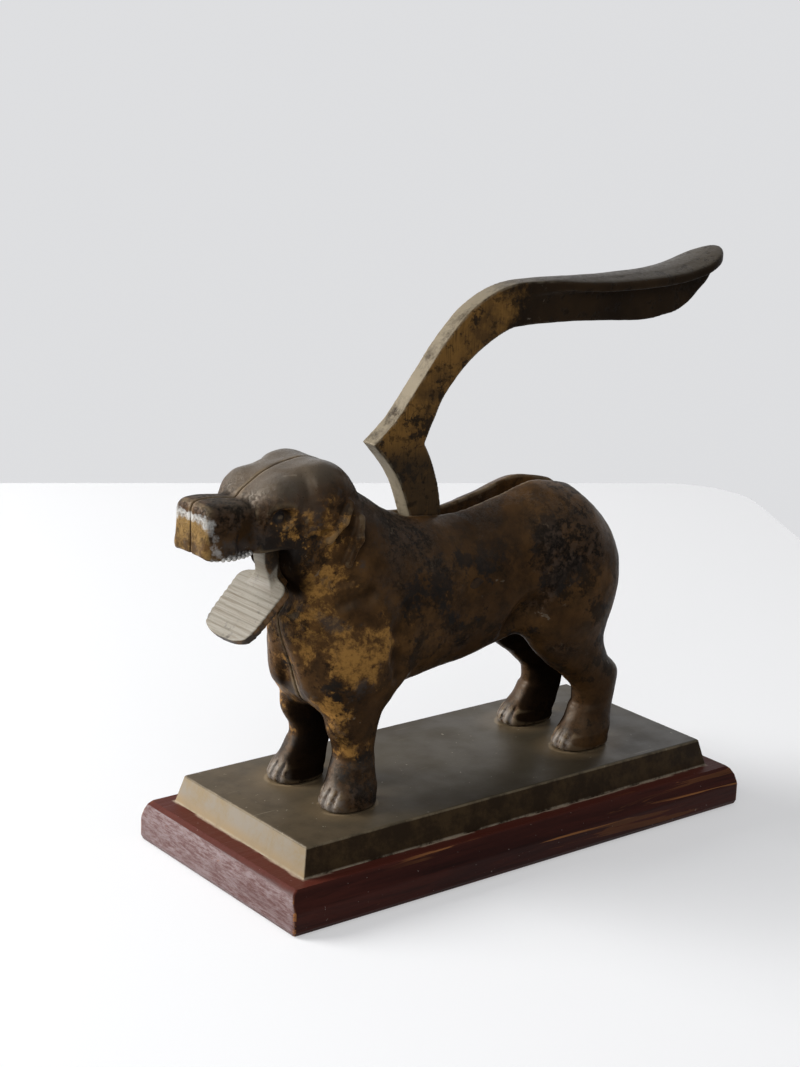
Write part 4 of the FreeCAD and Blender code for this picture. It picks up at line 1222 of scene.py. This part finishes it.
def plan(half_x, half_y, radii, count=7):
    """Anticlockwise rounded rectangle; a radius for each corner, from near left round to far left."""
    spots = []
    for i, ((sx, sy), radius) in enumerate(zip(((-1, -1), (1, -1), (1, 1), (-1, 1)), radii)):
        cx, cy = sx * (half_x - radius), sy * (half_y - radius)
        for turn in np.linspace(math.pi * (1 + i / 2), math.pi * (1.5 + i / 2), count):
            spots.append((cx + radius * math.cos(turn), cy + radius * math.sin(turn)))
    return spots


def lofted(name, rings, sharp=24.0):
    """Closed mesh object through rings of points in millimetres, from the lowest to the highest."""
    size = len(rings[0])
    verts = [tuple(v * MM for v in p) for ring in rings for p in ring]
    faces = [tuple(reversed(range(size))), tuple(range(len(verts) - size, len(verts)))]
    for k in range(len(rings) - 1):
        low, high = k * size, (k + 1) * size
        faces += [(low + i, low + (i + 1) % size, high + (i + 1) % size, high + i) for i in range(size)]
    mesh = bpy.data.meshes.new(name)
    mesh.from_pydata(verts, [], faces)
    mesh.shade_smooth()
    mesh.set_sharp_from_angle(angle=math.radians(sharp))
    return placed(name, mesh)


def cut(obj, cutter):
    """Takes the cutter away from the object."""
    carve = obj.modifiers.new("cut", "BOOLEAN")
    carve.object, carve.operation, carve.solver = cutter, "DIFFERENCE", "EXACT"
    finished(obj)
    bpy.data.objects.remove(cutter)
    return obj


class NUTCRACKER_OT_plinth(bpy.types.Operator):
    """Makes the cast plinth with softened edges"""

    bl_idname = "nutcracker.plinth"
    bl_label = "Plinth"

    def execute(self, context):
        sizes = context.scene.nutcracker_plate
        soft, slope = sizes.edge / MM, PLINTH_SLOPE
        low, high = node_box("plinth")
        rows = [(low[2], 0.0), (high[2] - soft, slope * (1 - soft / (high[2] - low[2]))),
                (high[2] - soft * 0.3, slope + soft * 0.3), (high[2], slope + soft)]
        rings = [[(x, y, z) for x, y in plan(high[0] - inset, high[1] - inset, [soft] * 4, 4)]
                 for z, inset in rows]
        dress(lofted("plinth_plate", rings), plate_finish(sizes), "stand", ("plinth",))
        return {"FINISHED"}


class NUTCRACKER_OT_wood_base(bpy.types.Operator):
    """Makes the stained board: chamfered sides, rounded ends and holes for its screws"""

    bl_idname = "nutcracker.wood_base"
    bl_label = "Wooden base"

    def execute(self, context):
        sizes = context.scene.nutcracker_wood
        low, high = node_box("wood_base")
        tall, foot = high[2] - low[2], sizes.edge / MM
        breast = tall - WOOD_BREAST
        sole = [(0, foot), (foot * 0.35, foot * 0.3), (foot, 0)]
        side = sole + [(breast - 0.4, 0), (breast + 0.4, 0.25), (tall - 0.4, WOOD_CHAMFER - 0.4),
                       (tall, WOOD_CHAMFER)]
        end = sole + [(tall * 0.55, 0.05), (tall * 0.78, 0.7), (tall * 0.92, 1.9), (tall, 3.6)]
        rings = []
        for z in sorted({z for z, _ in side + end}):
            in_x, in_y = (float(np.interp(z, *zip(*rows))) for rows in (end, side))
            radii = [max(r - 0.5 * (in_x + in_y), 0.8) for r in WOOD_CORNERS]
            rings.append([(x, y, low[2] + z) for x, y in plan(high[0] - in_x, high[1] - in_y, radii)])
        board = lofted("wooden_board", rings)
        names = [name for name in frame["nodes"] if name.startswith("base_screw")]
        bore = lofted("bore", circles([(-1.0, BASE_BORE), (BASE_BORE_DEPTH, BASE_BORE)]))
        cut(board, at_corners("bores", bore, names, 0.0))
        dress(board, wood_finish(sizes), "stand", ("wood_base",))
        return {"FINISHED"}


def circles(profile, sides=32):
    """Rings of a turned form from its (height, radius) profile."""
    turns = np.linspace(0, 2 * math.pi, sides, endpoint=False)
    return [[(r * math.cos(t), r * math.sin(t), z) for t in turns] for z, r in profile]


def at_corners(name, source, names, height, material=None):
    """Copies of the source on the corners of the rectangle that the named nodes stand on."""
    middles = np.array([np.mean(node_box(n), axis=0) for n in names])
    spread = middles.max(axis=0) - middles.min(axis=0)
    centre = (middles.max(axis=0) + middles.min(axis=0)) / 2
    tree = Growth("at corners", Source="Object", Spread_X="Float", Spread_Y="Float", Centre="Vector",
                  Material="Material")
    grid = tree.node("GeometryNodeMeshGrid", {"Size X": tree.given["Spread X"], "Vertices X": 2,
                                              "Size Y": tree.given["Spread Y"], "Vertices Y": 2})
    moved = tree.node("GeometryNodeTransform", {"Geometry": grid, "Translation": tree.given["Centre"]})
    shape = tree.node("GeometryNodeObjectInfo", {"Object": tree.given["Source"]}, "Geometry")
    copies = tree.node("GeometryNodeInstanceOnPoints", {"Points": moved, "Instance": shape})
    made = tree.grown(name, copies, {"Source": source, "Spread X": spread[0] * MM, "Spread Y": spread[1] * MM,
                                     "Centre": (centre[0] * MM, centre[1] * MM, height * MM),
                                     "Material": material})
    bpy.data.objects.remove(source)
    return made


def slotted_screw(profile):
    """One turned screw, standing on its head, with a slot across the head."""
    reach, half = profile[0][1] + 1.0, SCREW_SLOT / 2
    slot = lofted("slot", [[(-reach, -half, z), (reach, -half, z), (reach, half, z), (-reach, half, z)]
                           for z in (-1.0, SCREW_SLOT)])
    return cut(lofted("screw", circles(profile)), slot)


class NUTCRACKER_OT_fastenings(bpy.types.Operator):
    """Makes the slotted screws and gives the pin and rivet their finishes"""

    bl_idname = "nutcracker.fastenings"
    bl_label = "Fastenings"

    def execute(self, context):
        steel = steel_finish("dull steel", (0.36, 0.35, 0.33), 0.38)
        cheese_head = [(0, BASE_HEAD - 0.3), (0.3, BASE_HEAD), (BASE_HEAD_HEIGHT, BASE_HEAD)]
        for key, radius, head, head_height in (("base_screw", BASE_SCREW, cheese_head, BASE_HEAD_HEIGHT),
                                               ("foot_screw", FOOT_SCREW, [(0, FOOT_HEAD)], FOOT_HEAD_HEIGHT)):
            names = [name for name in frame["nodes"] if key in name]
            low, high = node_box(names[0])
            top = high[2] - low[2]
            shank = [(head_height + 0.01, radius), (top - 0.6, radius), (top, radius * 0.55)]
            screws = at_corners(key + "s", slotted_screw(head + shank), names, low[2], steel)
            dress(screws, steel, "stand", tuple(names))
        pin, rivet = (frame["nodes"][name] for name in ("pivot_pin", "body_rivet"))
        coated(pin, steel)
        coated(rivet, rivet_finish())
        return {"FINISHED"}


class NUTCRACKER_OT_lip_teeth(bpy.types.Operator):
    """Sets a row of small teeth along the dog's lips on each side"""

    bl_idname = "nutcracker.lip_teeth"
    bl_label = "Lip teeth"

    def execute(self, context):
        sizes = context.scene.nutcracker_dog
        metal = steel_finish("worn lip metal", tuple(sizes.worn), 0.5)
        radius = sizes.tooth_radius / MM
        tree = Growth("row of teeth", Start="Vector", Middle="Vector", End="Vector", Teeth="Int",
                      Radius="Float", Material="Material")
        row = tree.node("GeometryNodeCurveQuadraticBezier",
                        {key: tree.given[key] for key in ("Start", "Middle", "End")})
        spots = tree.node("GeometryNodeResampleCurve", {"Curve": row, "Count": tree.given["Teeth"]})
        bead = tree.node("GeometryNodeMeshIcoSphere", {"Radius": tree.given["Radius"], "Subdivisions": 3})
        limits = {"Min": (0.8, 0.85, 0.75), "Max": (1.15, 1.05, 1.0), "Seed": 5}
        sway = tree.node("FunctionNodeRandomValue", limits, data_type="FLOAT_VECTOR")
        teeth = tree.node("GeometryNodeInstanceOnPoints", {"Points": spots, "Instance": bead, "Scale": sway})
        for name, side in (("left_lip_teeth", -1), ("right_lip_teeth", 1)):
            places = {}
            for key, dx, out in (("Start", -43.6, 10.2), ("Middle", -37.0, 15.6), ("End", -29.0, 11.4)):
                x, z = from_hinge(dx, shut_jaw_height(dx) + 0.4 + radius)
                places[key] = (x * MM, side * out * MM, z * MM)
            row = tree.grown(name, teeth, {**places, "Teeth": sizes.tooth_count, "Radius": sizes.tooth_radius,
                                           "Material": metal})
            dress(row, metal)
        return {"FINISHED"}


def sheet_of(name, corners):
    """Flat stage piece through the corners, in metres."""
    obj = to_mesh(name, np.array(corners, float) / MM, np.array([list(range(len(corners)))]))
    return obj


def backdrop(name, tone, shown, lit, bounce):
    """Pale stage finish, part of it glowing and part lit, and darker to the light that it bounces."""
    f = Finish(name, **{"Roughness": 0.6, GLOSS: 0.1, "Emission Color": tone})
    seen = f.either(*(f.node("ShaderNodeLightPath", (), "Is %s Ray" % kind)
                      for kind in ("Camera", "Glossy", "Transmission")))
    f.base = f.tint(seen, tuple(v * bounce for v in tone), tuple(v * lit for v in tone))
    return f.made(**{"Emission Strength": seen * shown})


def area_light(name, place, size, power):
    """Round lamp that shines at the dog and doesn't show."""
    lamp = bpy.data.lights.new(name, "AREA")
    lamp.shape, lamp.size, lamp.energy = "DISK", size, power
    obj = placed(name, lamp)
    obj.location = place
    obj.rotation_euler = (Vector((0, 0, 0.08)) - Vector(place)).to_track_quat("-Z", "Y").to_euler()
    obj.visible_camera = False


# where the viewer stands and looks, in metres and degrees
EYE = (-0.48885, -0.58099, 0.32347)
HEADING, DOWN, ROLL, LENS = -38.388, 15.405, 2.126, 71.4
TABLE_BACK, TABLE_SIDE = Vector((0.869, -0.496, 0)), Vector((-0.496, -0.869, 0))
TABLE_CORNER, TABLE_RADIUS = Vector((0.502, 0.326, 0)), 0.05


class NUTCRACKER_OT_stage(bpy.types.Operator):
    """Makes the table, wall, lights and camera"""

    bl_idname = "nutcracker.stage"
    bl_label = "Stage"

    def execute(self, context):
        sizes, scene = context.scene.nutcracker_stage, context.scene
        heading, down, roll = (math.radians(angle) for angle in (HEADING, DOWN, ROLL))
        ahead = Vector((-math.sin(heading), math.cos(heading), 0))
        across = Vector((math.cos(heading), math.sin(heading), 0))
        up = Vector((0, 0, 1))
        camera = bpy.data.cameras.new("camera")
        camera.sensor_width, camera.lens, camera.clip_end = 36.0, LENS, 100.0
        scene.camera = placed("camera", camera)
        turn = (ahead * math.cos(down) - up * math.sin(down)).to_track_quat("-Z", "Y").to_matrix().to_4x4()
        scene.camera.matrix_world = Matrix.Translation(EYE) @ turn @ Matrix.Rotation(roll, 4, "Z")

        start = TABLE_CORNER - (TABLE_BACK - TABLE_SIDE) * TABLE_RADIUS
        bend = [start + TABLE_BACK * TABLE_RADIUS * math.sin(t) - TABLE_SIDE * TABLE_RADIUS * math.cos(t)
                for t in np.linspace(0, math.pi / 2, 12)]
        edge = bend + [TABLE_CORNER + TABLE_SIDE * 4, TABLE_CORNER + TABLE_SIDE * 4 - TABLE_BACK * 5,
                       TABLE_CORNER - TABLE_BACK * 5]
        top = sheet_of("table_top", [tuple(c) for c in edge][::-1])
        top.data.materials.append(backdrop("white table", tuple(sizes.table), 0.46, 0.66, 0.4))
        far = Vector((EYE[0], EYE[1], -1.2)) + ahead * 3.2
        corners = ((-5, 0), (5, 0), (5, 4), (-5, 4))
        wall = sheet_of("wall", [tuple(far + across * a + up * b) for a, b in corners])
        wall.data.materials.append(backdrop("pale wall", tuple(sizes.wall), 1.0, 0.0, 0.4))

        scene.world = bpy.data.worlds.new("room")
        scene.world.use_nodes = True
        sky = scene.world.node_tree.nodes["Background"].inputs
        sky["Color"].default_value, sky["Strength"].default_value = (0.93, 0.95, 1.0, 1.0), 0.3
        area_light("window", (-1.15, 0.95, 0.72), 1.1, 42.0)
        area_light("room_fill", (-1.1, -1.3, 1.3), 1.4, 9.0)
        scene.view_settings.view_transform = "Standard"
        return {"FINISHED"}


class NUTCRACKER_PT_panel(bpy.types.Panel):
    """Lists the nutcracker's steps and settings"""

    bl_idname = "NUTCRACKER_PT_panel"
    bl_label = "Dog Nutcracker"
    bl_space_type = "VIEW_3D"
    bl_region_type = "UI"
    bl_category = "Nutcracker"

    def draw(self, context):
        for step in STEPS:
            self.layout.operator(step.bl_idname)
        for group in GROUPS:
            box = self.layout.box()
            for prop in GROUPS[group].__annotations__:
                box.prop(getattr(context.scene, group), prop)


GROUPS = {"nutcracker_dog": DogSizes, "nutcracker_lever": LeverSizes, "nutcracker_plate": PlateSizes,
          "nutcracker_wood": WoodSizes, "nutcracker_stage": StageSizes}
STEPS = (NUTCRACKER_OT_dog_halves, NUTCRACKER_OT_lip_teeth, NUTCRACKER_OT_tail_lever, NUTCRACKER_OT_plinth,
         NUTCRACKER_OT_wood_base, NUTCRACKER_OT_fastenings, NUTCRACKER_OT_stage)


def register():
    for name, group in GROUPS.items():
        bpy.utils.register_class(group)
        setattr(bpy.types.Scene, name, bpy.props.PointerProperty(type=group))
    for step in STEPS:
        bpy.utils.register_class(step)
    bpy.utils.register_class(NUTCRACKER_PT_panel)


def unregister():
    bpy.utils.unregister_class(NUTCRACKER_PT_panel)
    for step in reversed(STEPS):
        bpy.utils.unregister_class(step)
    for name, group in GROUPS.items():
        delattr(bpy.types.Scene, name)
        bpy.utils.unregister_class(group)


def main():
    register()
    for step in STEPS:
        family, action = step.bl_idname.split(".")
        getattr(getattr(bpy.ops, family), action)()


if __name__ == "__main__":
    main()
